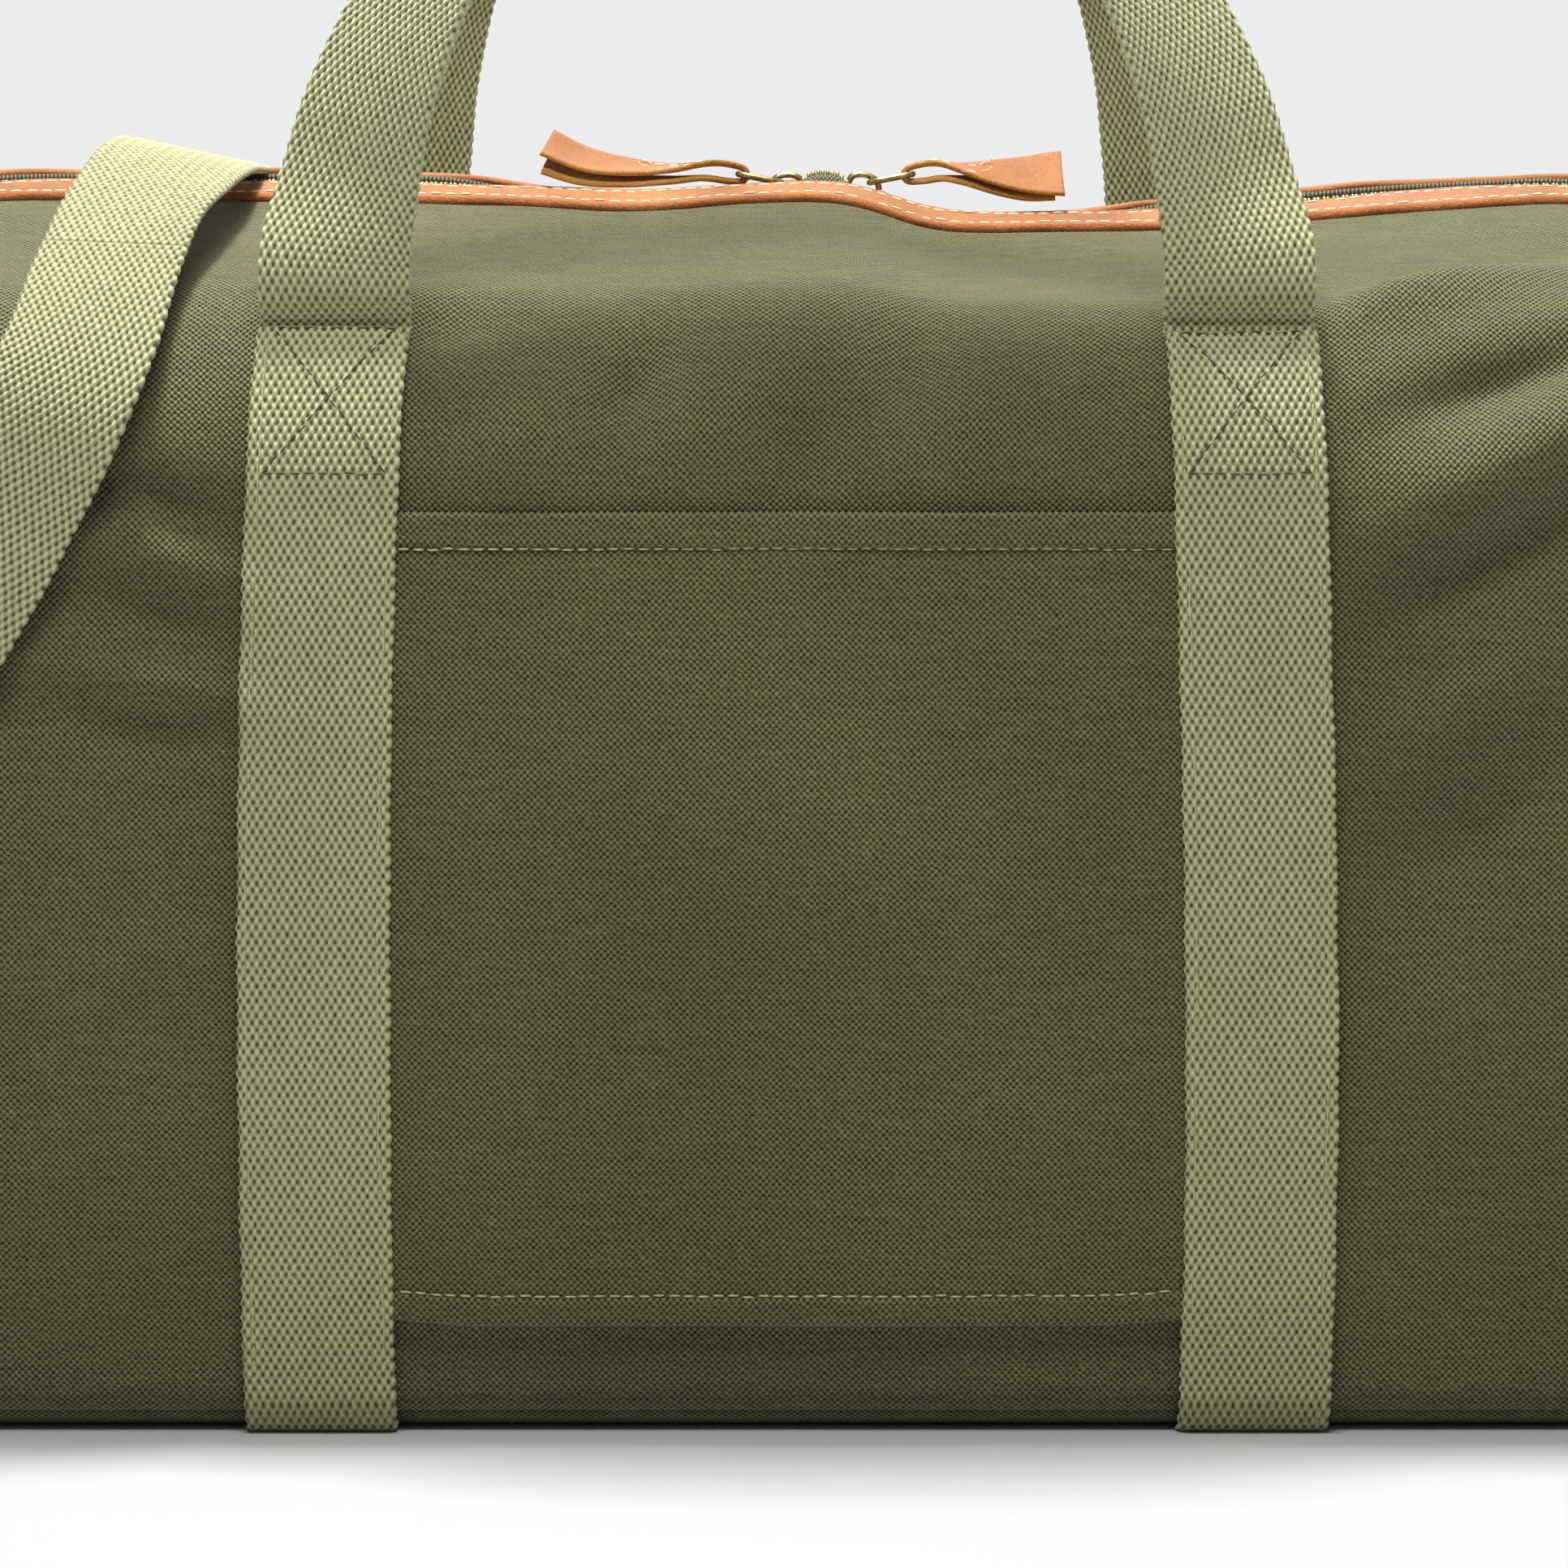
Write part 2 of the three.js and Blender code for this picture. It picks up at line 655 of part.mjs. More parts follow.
function buildRingsAndHooks() {
  for (const [name, end] of Object.entries(ends)) {
    const bar = new THREE.Group();
    bar.position.set(end * ringBarX, 0, ringBarHeight);
    bar.rotation.z = end < 0 ? Math.PI : 0;
    bag.add(bar);
    const ring = new THREE.Group();
    ring.rotation.y = -ringTilt;
    bar.add(ring);
    add(`d_ring_${name}`, dRingGeometry(), brass, ring);
    const swing = new THREE.Group();
    const aside = end < 0 ? 0 : rightHookSwing;
    swing.rotation.x = aside;
    ring.add(swing);
    const hook = new THREE.Group();
    hook.position.z = -ringRadius;
    // The hook hangs flat beside the end panel however far the ring tilts out.
    hook.rotation.y = Math.atan(Math.cos(aside) * Math.tan(ringTilt));
    const droop = new THREE.Group();
    droop.position.z = -ringInMouth;
    hook.add(droop);
    swing.add(hook);
    add(`snap_hook_${name}`, snapHookGeometry(), brass, droop);
    const gate = new THREE.Group();
    gate.position.set(gateX, 0, gateFoot);
    droop.add(gate);
    add(`hook_gate_${name}`, gateGeometry(), brass, gate);
    add(`swivel_eye_${name}`, swivelEyeGeometry(), brass, droop);
    bag.updateMatrixWorld(true);
    const frame = droop.matrixWorld;
    const meet = new THREE.Vector3(0, 0, eyeFoot - 3 * clearance).applyMatrix4(frame);
    const away = new THREE.Vector3(0, 0, -1).transformDirection(frame);
    strapEnds[name] = { meet, away };
  }
}

// ---------------------------------------------------------------- shoulder strap

// How far a flat strap laid across the rounded shoulder stands off it at its edges.
const strapCrown = shoulderRadius - Math.sqrt(shoulderRadius ** 2 - (webbingWidth / 2) ** 2);

// A strap's place beside the canvas, and the way to the bag from there.
function besideBag(x, height, away, side) {
  const place = outlineAt(lengthAtHeight(height));
  const point = offsetPoint(place, strapCrown + away, side);
  return [[x, point.x, point.y], [0, -side * place.ny, -place.nz]];
}

// From the left hook down into a slack loop at the corner, up across the front, over the
// zip, down behind and round to the right hook. Each entry is a place and the way that
// one face of the strap looks: along -X at both hooks, and to the bag in between.
function strapRoute() {
  const left = strapEnds.left;
  const right = strapEnds.right;
  const at = (end, distance) => end.meet.clone().addScaledVector(end.away, distance).toArray();
  const face = bagDepth / 2;
  const wall = bagLength / 2;
  const top = bagHeight + mouthHalf * Math.tan(roofSlope);
  const half = webbingWidth / 2;
  return [
    [at(left, 0), [-1, 0, 0]],
    [at(left, 10), [-1, 0, 0]],
    [at(left, 30), [-1, 0, 0]],
    [[-wall - half - 5, -36, 112], [-0.95, -0.3, 0]],
    [[-wall - half - 11, -82, 66], [-0.6, -0.8, 0.1]],
    [[-wall - half - 11, -face + 22, 36], [-0.2, -0.6, 0.75]],
    [[-wall - half - 2, -face - 6, 29], [0, 0.3, 0.95]],
    [[-wall + 2, -face - half, 54], [0, 0.95, 0.1]],
    besideBag(-wall + 28, 99, 11.5, 1),
    besideBag(-wall + 66, 165, 6.5, 1),
    besideBag(-wall + 104, top - 83, 2.5, 1),
    besideBag(-wall + 121, top - 52, 4.5, 1),
    besideBag(-wall + 131, top - 26, 11.5, 1),
    [[-wall + 138, -60, top + 5], [-0.2, 0.2, -0.97]],
    [[-wall + 140, 0, top + 9], [-0.2, 0, -0.98]],
    [[-wall + 140, 60, top + 3], [-0.1, -0.2, -0.98]],
    besideBag(-wall + 138, top - 26, 9.5, -1),
    besideBag(-wall + 137, top - 52, 6.5, -1),
    besideBag(-wall + 141, top - 98, 5.5, -1),
    besideBag(-wall + 160, 162, 5.5, -1),
    besideBag(-wall + 199, 117, 6.5, -1),
    besideBag(-wall + 260, 86, 6.5, -1),
    besideBag(-wall + 340, 73, 6.5, -1),
    besideBag(-wall + 420, 72, 6.5, -1),
    besideBag(-wall + 500, 83, 6.5, -1),
    besideBag(-wall + 562, 104, 6.5, -1),
    [[wall + 6, face + 4, 125], [-0.7, -0.7, 0]],
    [at(right, 48), [-1, -0.15, 0]],
    [at(right, 28), [-1, 0, 0]],
    [at(right, 10), [-1, 0, 0]],
    [at(right, 0), [-1, 0, 0]],
  ];
}

function buildStrap() {
  const stations = smoothStations(strapRoute(), strapSteps);
  add('shoulder_strap', ribbon(stations, webbingWidth, webbingThick), webbing);
  // The strap's doubled end runs outside the main run, from the glide to the right hook.
  const lift = webbingThick + 4 * clearance;
  const doubled = stations.slice(strapSteps - returnSteps + 2, strapSteps - 1).map((station) => ({
    point: station.point.clone().addScaledVector(station.normal, -lift),
    normal: station.normal,
  }));
  add('strap_return', ribbon(doubled, webbingWidth, webbingThick), webbing);
  const place = stations[strapSteps - returnSteps];
  const next = stations[strapSteps - returnSteps + 1];
  const along = next.point.clone().sub(place.point).normalize();
  const across = along.clone().cross(place.normal).normalize();
  const outward = across.clone().cross(along).negate();
  const glide = new THREE.Group();
  glide.matrixAutoUpdate = false;
  glide.matrix.makeBasis(along, outward.clone().cross(along), outward);
  glide.matrix.setPosition(place.point);
  bag.add(glide);
  add('strap_adjuster', glideGeometry(), brass, glide);
}

// A flat three-bar glide whose middle bar stands outside the strap.
function glideGeometry() {
  const wide = webbingWidth / 2 + buckleSideClearance + glideBar;
  const long = 1.5 * glideBar + glideSlot;
  const frame = roundedRectangle(-long, long, -wide, wide, 2.5);
  const lift = webbingThick / 2 + clearance;
  const slots = [-1, 1].map((side) => {
    const from = (side * glideBar) / 2;
    const to = side * (glideBar / 2 + glideSlot);
    return [Math.min(from, to), Math.max(from, to)];
  });
  for (const [from, to] of slots) {
    frame.holes.push(roundedRectangle(from, to, glideBar - wide, wide - glideBar, 1, THREE.Path));
  }
  return acrossZ(frame, glideThick).translate(0, 0, lift + glideThick / 2);
}

buildShell();
buildPocket();
buildSewnWebbing();
buildHandles();
buildZip();
buildZipEndTabs();
buildSliders();
buildRingTabs();
buildRingsAndHooks();
buildStrap();

export default bag;
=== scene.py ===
# A canvas duffel bag with webbing handles, a leather-faced zip and a shoulder strap,
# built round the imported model. Metres, +Z up, +X along the bag, front at -Y.

import json
import math

import bmesh
import bpy
import numpy as np
from mathutils import Matrix, Vector


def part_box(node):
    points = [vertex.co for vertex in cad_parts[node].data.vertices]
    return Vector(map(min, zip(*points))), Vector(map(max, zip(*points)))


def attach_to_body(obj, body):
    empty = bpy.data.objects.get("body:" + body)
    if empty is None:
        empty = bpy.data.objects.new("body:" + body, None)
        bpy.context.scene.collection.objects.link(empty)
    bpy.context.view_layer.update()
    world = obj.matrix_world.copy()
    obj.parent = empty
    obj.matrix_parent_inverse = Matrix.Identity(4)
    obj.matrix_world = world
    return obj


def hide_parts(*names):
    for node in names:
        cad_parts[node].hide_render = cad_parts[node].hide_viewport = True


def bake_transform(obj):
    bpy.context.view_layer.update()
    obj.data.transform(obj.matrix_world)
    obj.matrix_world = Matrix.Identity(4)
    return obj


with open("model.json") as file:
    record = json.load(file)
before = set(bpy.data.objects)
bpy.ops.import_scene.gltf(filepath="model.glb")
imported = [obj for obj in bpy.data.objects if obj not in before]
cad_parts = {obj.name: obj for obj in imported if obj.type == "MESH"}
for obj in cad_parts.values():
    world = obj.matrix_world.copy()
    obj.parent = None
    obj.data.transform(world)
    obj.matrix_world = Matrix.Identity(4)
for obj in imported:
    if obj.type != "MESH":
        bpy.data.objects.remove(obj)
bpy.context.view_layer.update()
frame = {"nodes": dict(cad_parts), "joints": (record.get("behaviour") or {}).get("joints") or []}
scene = bpy.context.scene
scene.view_settings.view_transform = "Standard"
rng = np.random.default_rng(7)
JOINTS = {joint["name"]: joint for joint in frame["joints"]}

# ---- sizes

MM = 0.001
BASE_RADIUS = 10 * MM
SHOULDER_RADIUS = 50 * MM
ROOF_SLOPE = math.radians(14)
CANVAS = 1.4 * MM
GAP = 0.3 * MM
CORNER = 10 * MM
TUCK = 7 * MM
TUCK_HEIGHT = 34 * MM
SLUMP = 9 * MM

end_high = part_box("end_panel_right")[1]
HALF_LENGTH = end_high.x
HALF_DEPTH = end_high.y
CREST = end_high.z
PANEL_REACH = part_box("front_panel")[1].x
MOUTH = -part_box("front_panel")[1].y

web_low, web_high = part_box("front_webbing_right")
WEB_WIDTH = web_high.x - web_low.x
WEB_THICK = 2.2 * MM
WEB_LEAN = 3.5 * MM
HANDLE_HALF = (web_low.x + web_high.x) / 2
SEW_FOOT = web_low.z

SEED_ACROSS = 2.17 * MM
SEED_ALONG = 1.83 * MM
SEED_RISE = 0.58 * MM
CANVAS_WARP = 0.86 * MM
CANVAS_WEFT = 0.88 * MM

# ---- camera and light

CAMERA_PLACE = (-0.8 * MM, -1.542, 0.285)
CAMERA_AIM = (-0.8 * MM, -0.147, 0.1648)
LENS_MM = 129.2
SENSOR_MM = 36
WORLD_LIGHT = 0.12
WORLD_SEEN = 0.84
PAPER_WHITE = (1, 1, 1.01, 1)
GLOW_START = 0.7
GLOW_FULL = 2.8


def look_from(obj, place, aim):
    obj.location = place
    obj.rotation_euler = (Vector(aim) - Vector(place)).to_track_quat("-Z", "Y").to_euler()
    scene.collection.objects.link(obj)


camera = bpy.data.objects.new("camera", bpy.data.cameras.new("camera"))
look_from(camera, CAMERA_PLACE, CAMERA_AIM)
camera.data.sensor_width = SENSOR_MM
camera.data.lens = LENS_MM
camera.data.clip_start = 0.05
scene.camera = camera


def area_light(name, place, aim, size, power):
    light = bpy.data.lights.new(name, "AREA")
    light.shape = "RECTANGLE"
    light.size, light.size_y = size
    light.energy = power
    look_from(bpy.data.objects.new(name, light), place, aim)


def build_light():
    """An overhead lamp, a soft front one, weak ones beside and behind, and a plain pale world."""
    area_light("key", (-0.1, 0.05, 1.7), (0, 0, 0), (0.3, 0.2), 34)
    area_light("front", (-0.05, -0.72, 1.5), (0, -0.12, 0.25), (0.6, 0.4), 13)
    for side in (-1, 1):
        area_light(f"side_{side}", (side * 1.7, 0.15, 0.95), (side * 0.3, 0, 0.15), (0.9, 0.6), 7)
    area_light("rear", (0.1, 1.5, 1.2), (0, 0.14, 0.15), (1.0, 0.6), 7)
    world = bpy.data.worlds.new("studio")
    world.use_nodes = True
    tree = world.node_tree
    background = tree.nodes["Background"]
    path = tree.nodes.new("ShaderNodeLightPath")
    strength = tree.nodes.new("ShaderNodeMapRange")
    strength.inputs["To Min"].default_value = WORLD_LIGHT
    strength.inputs["To Max"].default_value = WORLD_SEEN
    tree.links.new(path.outputs["Is Camera Ray"], strength.inputs["Value"])
    tree.links.new(strength.outputs["Result"], background.inputs["Strength"])
    background.inputs["Color"].default_value = PAPER_WHITE
    scene.world = world


build_light()

# ---- materials


class Tree:
    """A material's node tree, with short ways to add what these materials use."""

    def __init__(self, name):
        self.material = bpy.data.materials.new(name)
        self.material.use_nodes = True
        self.tree = self.material.node_tree
        self.shader = self.tree.nodes["Principled BSDF"]

    def add(self, kind, inputs=(), **settings):
        node = self.tree.nodes.new(kind)
        for key, value in settings.items():
            setattr(node, key, value)
        for key, value in dict(inputs).items():
            self.put(node.inputs[key], value)
        return node

    def put(self, socket, value):
        if isinstance(value, bpy.types.NodeSocket):
            self.tree.links.new(value, socket)
        else:
            socket.default_value = value

    def calc(self, operation, *values):
        return self.add("ShaderNodeMath", enumerate(values), operation=operation).outputs[0]

    def uv(self):
        place = self.add("ShaderNodeUVMap", uv_map="cloth").outputs["UV"]
        split = self.add("ShaderNodeSeparateXYZ", {0: place})
        return split.outputs["X"], split.outputs["Y"]

    def noise(self, scale, detail=2.0, rough=0.5, stretch=None):
        place = self.add("ShaderNodeTexCoord").outputs["Object"]
        if stretch:
            place = self.add("ShaderNodeMapping", {"Vector": place, "Scale": stretch}).outputs[0]
        inputs = {"Vector": place, "Scale": scale, "Detail": detail, "Roughness": rough}
        return self.add("ShaderNodeTexNoise", inputs).outputs["Fac"]

    def spread(self, value, low, high):
        inputs = {"Value": value, "From Min": 0.25, "From Max": 0.75, "To Min": low, "To Max": high}
        return self.add("ShaderNodeMapRange", inputs).outputs["Result"]

    def ramp(self, value, *stops):
        node = self.add("ShaderNodeValToRGB", {0: value})
        ramp = node.color_ramp
        while len(ramp.elements) < len(stops):
            ramp.elements.new(0.5)
        for element, (place, colour) in zip(ramp.elements, stops):
            element.position = place
            element.color = (*colour, 1)
        return node.outputs[0]

    def shade(self, colour, amount):
        """The colour, lighter or darker by a factor."""
        inputs = {0: colour, "Scale": amount}
        return self.add("ShaderNodeVectorMath", inputs, operation="SCALE").outputs[0]

    def bump(self, height, distance, strength=1.0, normal=None):
        inputs = {"Height": height, "Distance": distance, "Strength": strength}
        node = self.add("ShaderNodeBump", inputs)
        if normal is not None:
            self.put(node.inputs["Normal"], normal)
        return node.outputs["Normal"]

    def lattice(self, u, v, across, along):
        """Staggered bumps, from -1 in the gaps to 1 on the yarns."""
        wave_u = self.calc("COSINE", self.calc("MULTIPLY", u, 2 * math.pi / across))
        wave_v = self.calc("COSINE", self.calc("MULTIPLY", v, math.pi / along))
        return self.calc("MULTIPLY", wave_u, wave_v)

    def finish(self, colour, normal=None, roughness=0.8, **constants):
        self.put(self.shader.inputs["Base Color"], colour)
        self.put(self.shader.inputs["Roughness"], roughness)
        if normal is not None:
            self.put(self.shader.inputs["Normal"], normal)
        for key, value in constants.items():
            self.shader.inputs[key.replace("_", " ")].default_value = value
        return self.material


def tone(red, green, blue):
    """A linear colour from 0 to 255 values."""
    return tuple(((c / 255 + 0.055) / 1.055) ** 2.4 for c in (red, green, blue))


def canvas_material():
    m = Tree("canvas")
    u, v = m.uv()
    stray = m.calc("MULTIPLY", m.calc("SUBTRACT", m.noise(420), 0.5), 0.8 * MM)
    u = m.calc("ADD", u, stray)
    v = m.calc("ADD", v, stray)
    weave = m.lattice(u, v, 2 * CANVAS_WARP, CANVAS_WEFT)
    slub = m.noise(60, 3, 0.6, (1.2, 1, 26))
    blotch = m.noise(9, 3, 0.6)
    level = m.calc("MULTIPLY_ADD", weave, 0.5, 0.5)
    level = m.calc("ADD", level, m.spread(slub, -0.1, 0.1))
    level = m.calc("ADD", level, m.spread(m.noise(1100, 1), -0.12, 0.12))
    # Colour follows the weave: painted shade in the gaps between the yarns, lighter on their crowns. The
    # slub, fine noise and blotch are the cloth's own uneven tone.
    colour = m.ramp(level, (0.05, tone(34, 34, 17)), (0.42, tone(97, 96, 60)), (1, tone(140, 138, 97)))
    colour = m.shade(colour, m.spread(blotch, 0.86, 1.12))
    normal = m.bump(weave, 0.34 * MM)
    normal = m.bump(m.noise(700, 1, 0.5), 0.15 * MM, 0.5, normal)
    shine = {"Sheen_Weight": 0.25, "Sheen_Roughness": 0.5, "Specular_IOR_Level": 0.12}
    return m.finish(colour, normal, 0.93, **shine)


def webbing_material():
    m = Tree("webbing")
    u, v = m.uv()
    stray = m.calc("MULTIPLY", m.calc("SUBTRACT", m.noise(260), 0.5), 0.9 * MM)
    u = m.calc("ADD", u, stray)
    seeds = m.lattice(u, v, SEED_ACROSS, SEED_ALONG)
    diagonal = m.calc("MULTIPLY", m.calc("ADD", u, v), 2 * math.pi / (0.62 * MM))
    twist = m.calc("SINE", diagonal)
    level = m.calc("MULTIPLY_ADD", seeds, 0.5, 0.5)
    level = m.calc("MULTIPLY_ADD", twist, 0.06, level)
    level = m.calc("ADD", level, m.spread(m.noise(500, 2, 0.6), -0.1, 0.1))
    # Painted shade in the gaps between the yarn seeds (darkest stop) and a painted highlight on the seeds'
    # crowns (lightest stop); the noise is the yarn's own uneven tone.
    colour = m.ramp(
        level,
        (0.04, tone(80, 80, 50)),
        (0.2, tone(132, 132, 90)),
        (0.5, tone(172, 172, 126)),
        (0.9, tone(204, 204, 160)),
    )
    colour = m.shade(colour, m.spread(m.noise(14, 3, 0.6), 0.92, 1.08))
    height = m.calc("MULTIPLY_ADD", twist, 0.12, seeds)
    normal = m.bump(height, 0.35 * MM, 0.9)
    shine = {"Sheen_Weight": 0.3, "Sheen_Roughness": 0.45, "Specular_IOR_Level": 0.2}
    return m.finish(colour, normal, 0.86, **shine)


def leather_material(name, dark, mid, light, grain=0.16 * MM, roughness=0.62):
    m = Tree(name)
    pores = m.noise(1500, 3, 0.6)
    place = m.add("ShaderNodeTexCoord").outputs["Object"]
    cells = m.add("ShaderNodeTexVoronoi", {"Vector": place, "Scale": 900}).outputs["Distance"]
    patches = m.noise(38, 4, 0.6)
    level = m.calc("ADD", m.calc("MULTIPLY", pores, 0.45), m.calc("MULTIPLY", patches, 0.6))
    colour = m.ramp(level, (0.32, dark), (0.52, mid), (0.72, light))
    normal = m.bump(pores, grain)
    normal = m.bump(cells, grain, 0.4, normal)
    rough = m.spread(patches, roughness - 0.06, roughness + 0.1)
    return m.finish(colour, normal, rough, Sheen_Weight=0.08, Specular_IOR_Level=0.3)


def brass_material():
    m = Tree("brass")
    tarnish = m.noise(420, 4, 0.65)
    scratches = m.noise(500, 2, 0.6, (1, 9, 9))
    stops = (0.3, tone(120, 108, 66)), (0.5, tone(176, 160, 106)), (0.7, tone(214, 200, 148))
    colour = m.ramp(tarnish, *stops)
    normal = m.bump(scratches, 0.05 * MM)
    return m.finish(colour, normal, m.spread(tarnish, 0.5, 0.26), Metallic=1.0)


def tape_material():
    m = Tree("zip_tape")
    u, v = m.uv()
    ribs = m.lattice(u, v, 1.1 * MM, 0.45 * MM)
    level = m.calc("MULTIPLY_ADD", ribs, 0.5, 0.5)
    level = m.calc("ADD", level, m.spread(m.noise(600), -0.15, 0.15))
    # Colour follows the ribs: painted shade in the grooves between them; the noise is the tape's own uneven
    # tone.
    colour = m.ramp(level, (0.1, tone(66, 64, 48)), (0.9, tone(140, 136, 112)))
    return m.finish(colour, m.bump(ribs, 0.2 * MM), 0.9, Sheen_Weight=0.2, Specular_IOR_Level=0.2)


def thread_material(name, dark, light):
    m = Tree(name)
    fibre = m.noise(1800, 2, 0.6)
    colour = m.ramp(fibre, (0.35, dark), (0.65, light))
    return m.finish(colour, None, 0.8, Sheen_Weight=0.2, Specular_IOR_Level=0.2)


def floor_material():
    """A pale floor that is as bright far away, where the lamps don't reach, as the background."""
    m = Tree("floor")
    place = m.add("ShaderNodeTexCoord").outputs["Object"]
    away = m.add("ShaderNodeVectorMath", {0: place}, operation="LENGTH").outputs["Value"]
    inputs = {"Value": away, "From Min": GLOW_START, "From Max": GLOW_FULL, "To Max": WORLD_SEEN}
    glow = m.add("ShaderNodeMapRange", inputs, interpolation_type="SMOOTHSTEP").outputs["Result"]
    m.put(m.shader.inputs["Emission Color"], PAPER_WHITE)
    m.put(m.shader.inputs["Emission Strength"], glow)
    return m.finish((0.56, 0.56, 0.565, 1), None, 0.6, Specular_IOR_Level=0.1)


CANVAS_FINISH = canvas_material()
WEBBING_FINISH = webbing_material()
TAN = leather_material("leather", tone(130, 76, 38), tone(159, 104, 57), tone(178, 128, 80))
BROWN = leather_material("leather_brown", tone(134, 78, 38), tone(162, 102, 54), tone(184, 126, 78))
SUEDE_TONES = tone(120, 78, 26), tone(186, 134, 58), tone(214, 168, 96)
SUEDE = leather_material("suede", *SUEDE_TONES, 0.35 * MM, 0.9)
EDGE_TONES = tone(120, 66, 30), tone(168, 100, 54), tone(196, 128, 76)
RAW_EDGE = leather_material("leather_edge", *EDGE_TONES, 0.3 * MM, 0.9)
BRASS = brass_material()
TAPE = tape_material()
OLIVE_THREAD = thread_material("olive_thread", tone(168, 168, 118), tone(206, 206, 158))
DARK_THREAD = thread_material("dark_thread", tone(52, 52, 30), tone(92, 92, 60))
CREAM_THREAD = thread_material("cream_thread", tone(236, 220, 184), tone(252, 244, 222))

# ---- meshes


def smoothstep(value, low, high):
    t = np.clip((value - low) / (high - low), 0, 1)
    return t * t * (3 - 2 * t)


def unit(vectors):
    return vectors / np.linalg.norm(vectors, axis=1)[:, None]


def distances(path):
    """How far along a path each of its points lies."""
    return np.concatenate([[0], np.cumsum(np.linalg.norm(np.diff(path, axis=0), axis=1))])


def make_object(name, points, faces, material, uv=None):
    """A closed mesh whose faces point outwards. uv gives one place for each point."""
    volume = 0
    for group in faces:
        a = points[group[:, 0]]
        for k in range(1, group.shape[1] - 1):
            b, c = points[group[:, k]], points[group[:, k + 1]]
            volume += np.einsum("ij,ij->i", a, np.cross(b, c)).sum()
    if volume < 0:
        faces = [group[:, ::-1] for group in faces]
    mesh = bpy.data.meshes.new(name)
    mesh.from_pydata(points.tolist(), [], [f for group in faces for f in group.tolist()])
    if uv is not None:
        layer = mesh.uv_layers.new(name="cloth")
        corner = np.empty(len(mesh.loops), np.int32)
        mesh.loops.foreach_get("vertex_index", corner)
        layer.data.foreach_set("uv", np.asarray(uv, np.float32).reshape(-1, 2)[corner].ravel())
    for finish in material if isinstance(material, list) else [material]:
        mesh.materials.append(finish)
    mesh.polygons.foreach_set("use_smooth", np.full(len(mesh.polygons), True))
    mesh.update()
    obj = bpy.data.objects.new(name, mesh)
    scene.collection.objects.link(obj)
    return obj


def shell_parts(outer, inner):
    """Points and faces of a closed skin between two grids of the same size."""
    count = outer.shape[0] * outer.shape[1]
    index = np.arange(count).reshape(outer.shape[:2])
    quads = np.stack([index[:-1, :-1], index[:-1, 1:], index[1:, 1:], index[1:, :-1]], -1).reshape(-1, 4)
    border = np.concatenate([index[0, :], index[1:, -1], index[-1, -2::-1], index[-2:0:-1, 0]])
    following = np.roll(border, -1)
    rim = np.stack([following, border, border + count, following + count], -1)
    points = np.concatenate([outer.reshape(-1, 3), inner.reshape(-1, 3)])
    return points, [np.concatenate([quads, (quads + count)[:, ::-1], rim])]


def shell(name, outer, inner, material, uv):
    points, faces = shell_parts(outer, inner)
    flat = uv.reshape(-1, 2)
    return make_object(name, points, faces, material, np.concatenate([flat, flat]))


def gather(name, bodies, material, uv=False):
    """One object from several closed bodies, each given as points and groups of faces."""
    points, groups, start = [], {4: [], 3: []}, 0
    for body, faces in bodies:
        points.append(body)
        for group in faces:
            groups[group.shape[1]].append(group + start)
        start += len(body)
    points = np.concatenate(points)
    joined = [np.concatenate(found) for found in groups.values() if found]
    return make_object(name, points, joined, material, points[:, [0, 2]] if uv else None)


def frames_along(path, closed, up):
    """Sides and normals along a path. They turn as little as they can, or keep near up."""
    if closed:
        tangents = unit(np.roll(path, -1, 0) - np.roll(path, 1, 0))
    else:
        tangents = unit(np.gradient(path, axis=0))
    normals = np.empty_like(tangents)
    last = np.array(up or (0.31, 0.47, 0.83), float)
    for i, tangent in enumerate(tangents):
        last = last - tangent * (last @ tangent)
        last /= np.linalg.norm(last)
        normals[i] = last
        if up:
            last = np.array(up, float)
    return np.cross(tangents, normals), normals


def lofted(rings, closed=False):
    """Points and faces of a body through rings of points, with its ends capped or joined."""
    rings = np.asarray(rings, float)
    rows, count = rings.shape[:2]
    index = np.arange(rows * count).reshape(rows, count)
    here = index if closed else index[:-1]
    after = np.roll(index, -1, 0) if closed else index[1:]
    quads = np.stack([here, np.roll(here, -1, 1), np.roll(after, -1, 1), after], -1).reshape(-1, 4)
    points = rings.reshape(-1, 3)
    if closed:
        return points, [quads]
    points = np.concatenate([points, [rings[0].mean(0)], [rings[-1].mean(0)]])
    first = np.stack([np.roll(index[0], -1), index[0], np.full(count, rows * count)], -1)
    last = np.stack([index[-1], np.roll(index[-1], -1), np.full(count, rows * count + 1)], -1)
    return points, [quads, first, last]


def tube(path, radius, sides=8, closed=False, up=None):
    """Points and faces of a rod along a path. The radius may vary along it."""
    radius = np.broadcast_to(radius, len(path))
    across, normals = frames_along(path, closed, up)
    angles = np.arange(sides) * 2 * math.pi / sides
    ring = np.cos(angles)[None, :, None] * across[:, None]
    ring = ring + np.sin(angles)[None, :, None] * normals[:, None]
    return lofted(path[:, None] + ring * radius[:, None, None], closed)


def resample(path, count):
    """Evenly spaced places on a path. Only its first three columns set the distance."""
    reach = distances(path[:, :3])
    places = np.linspace(0, reach[-1], count)
    return np.stack([np.interp(places, reach, column) for column in path.T], -1)


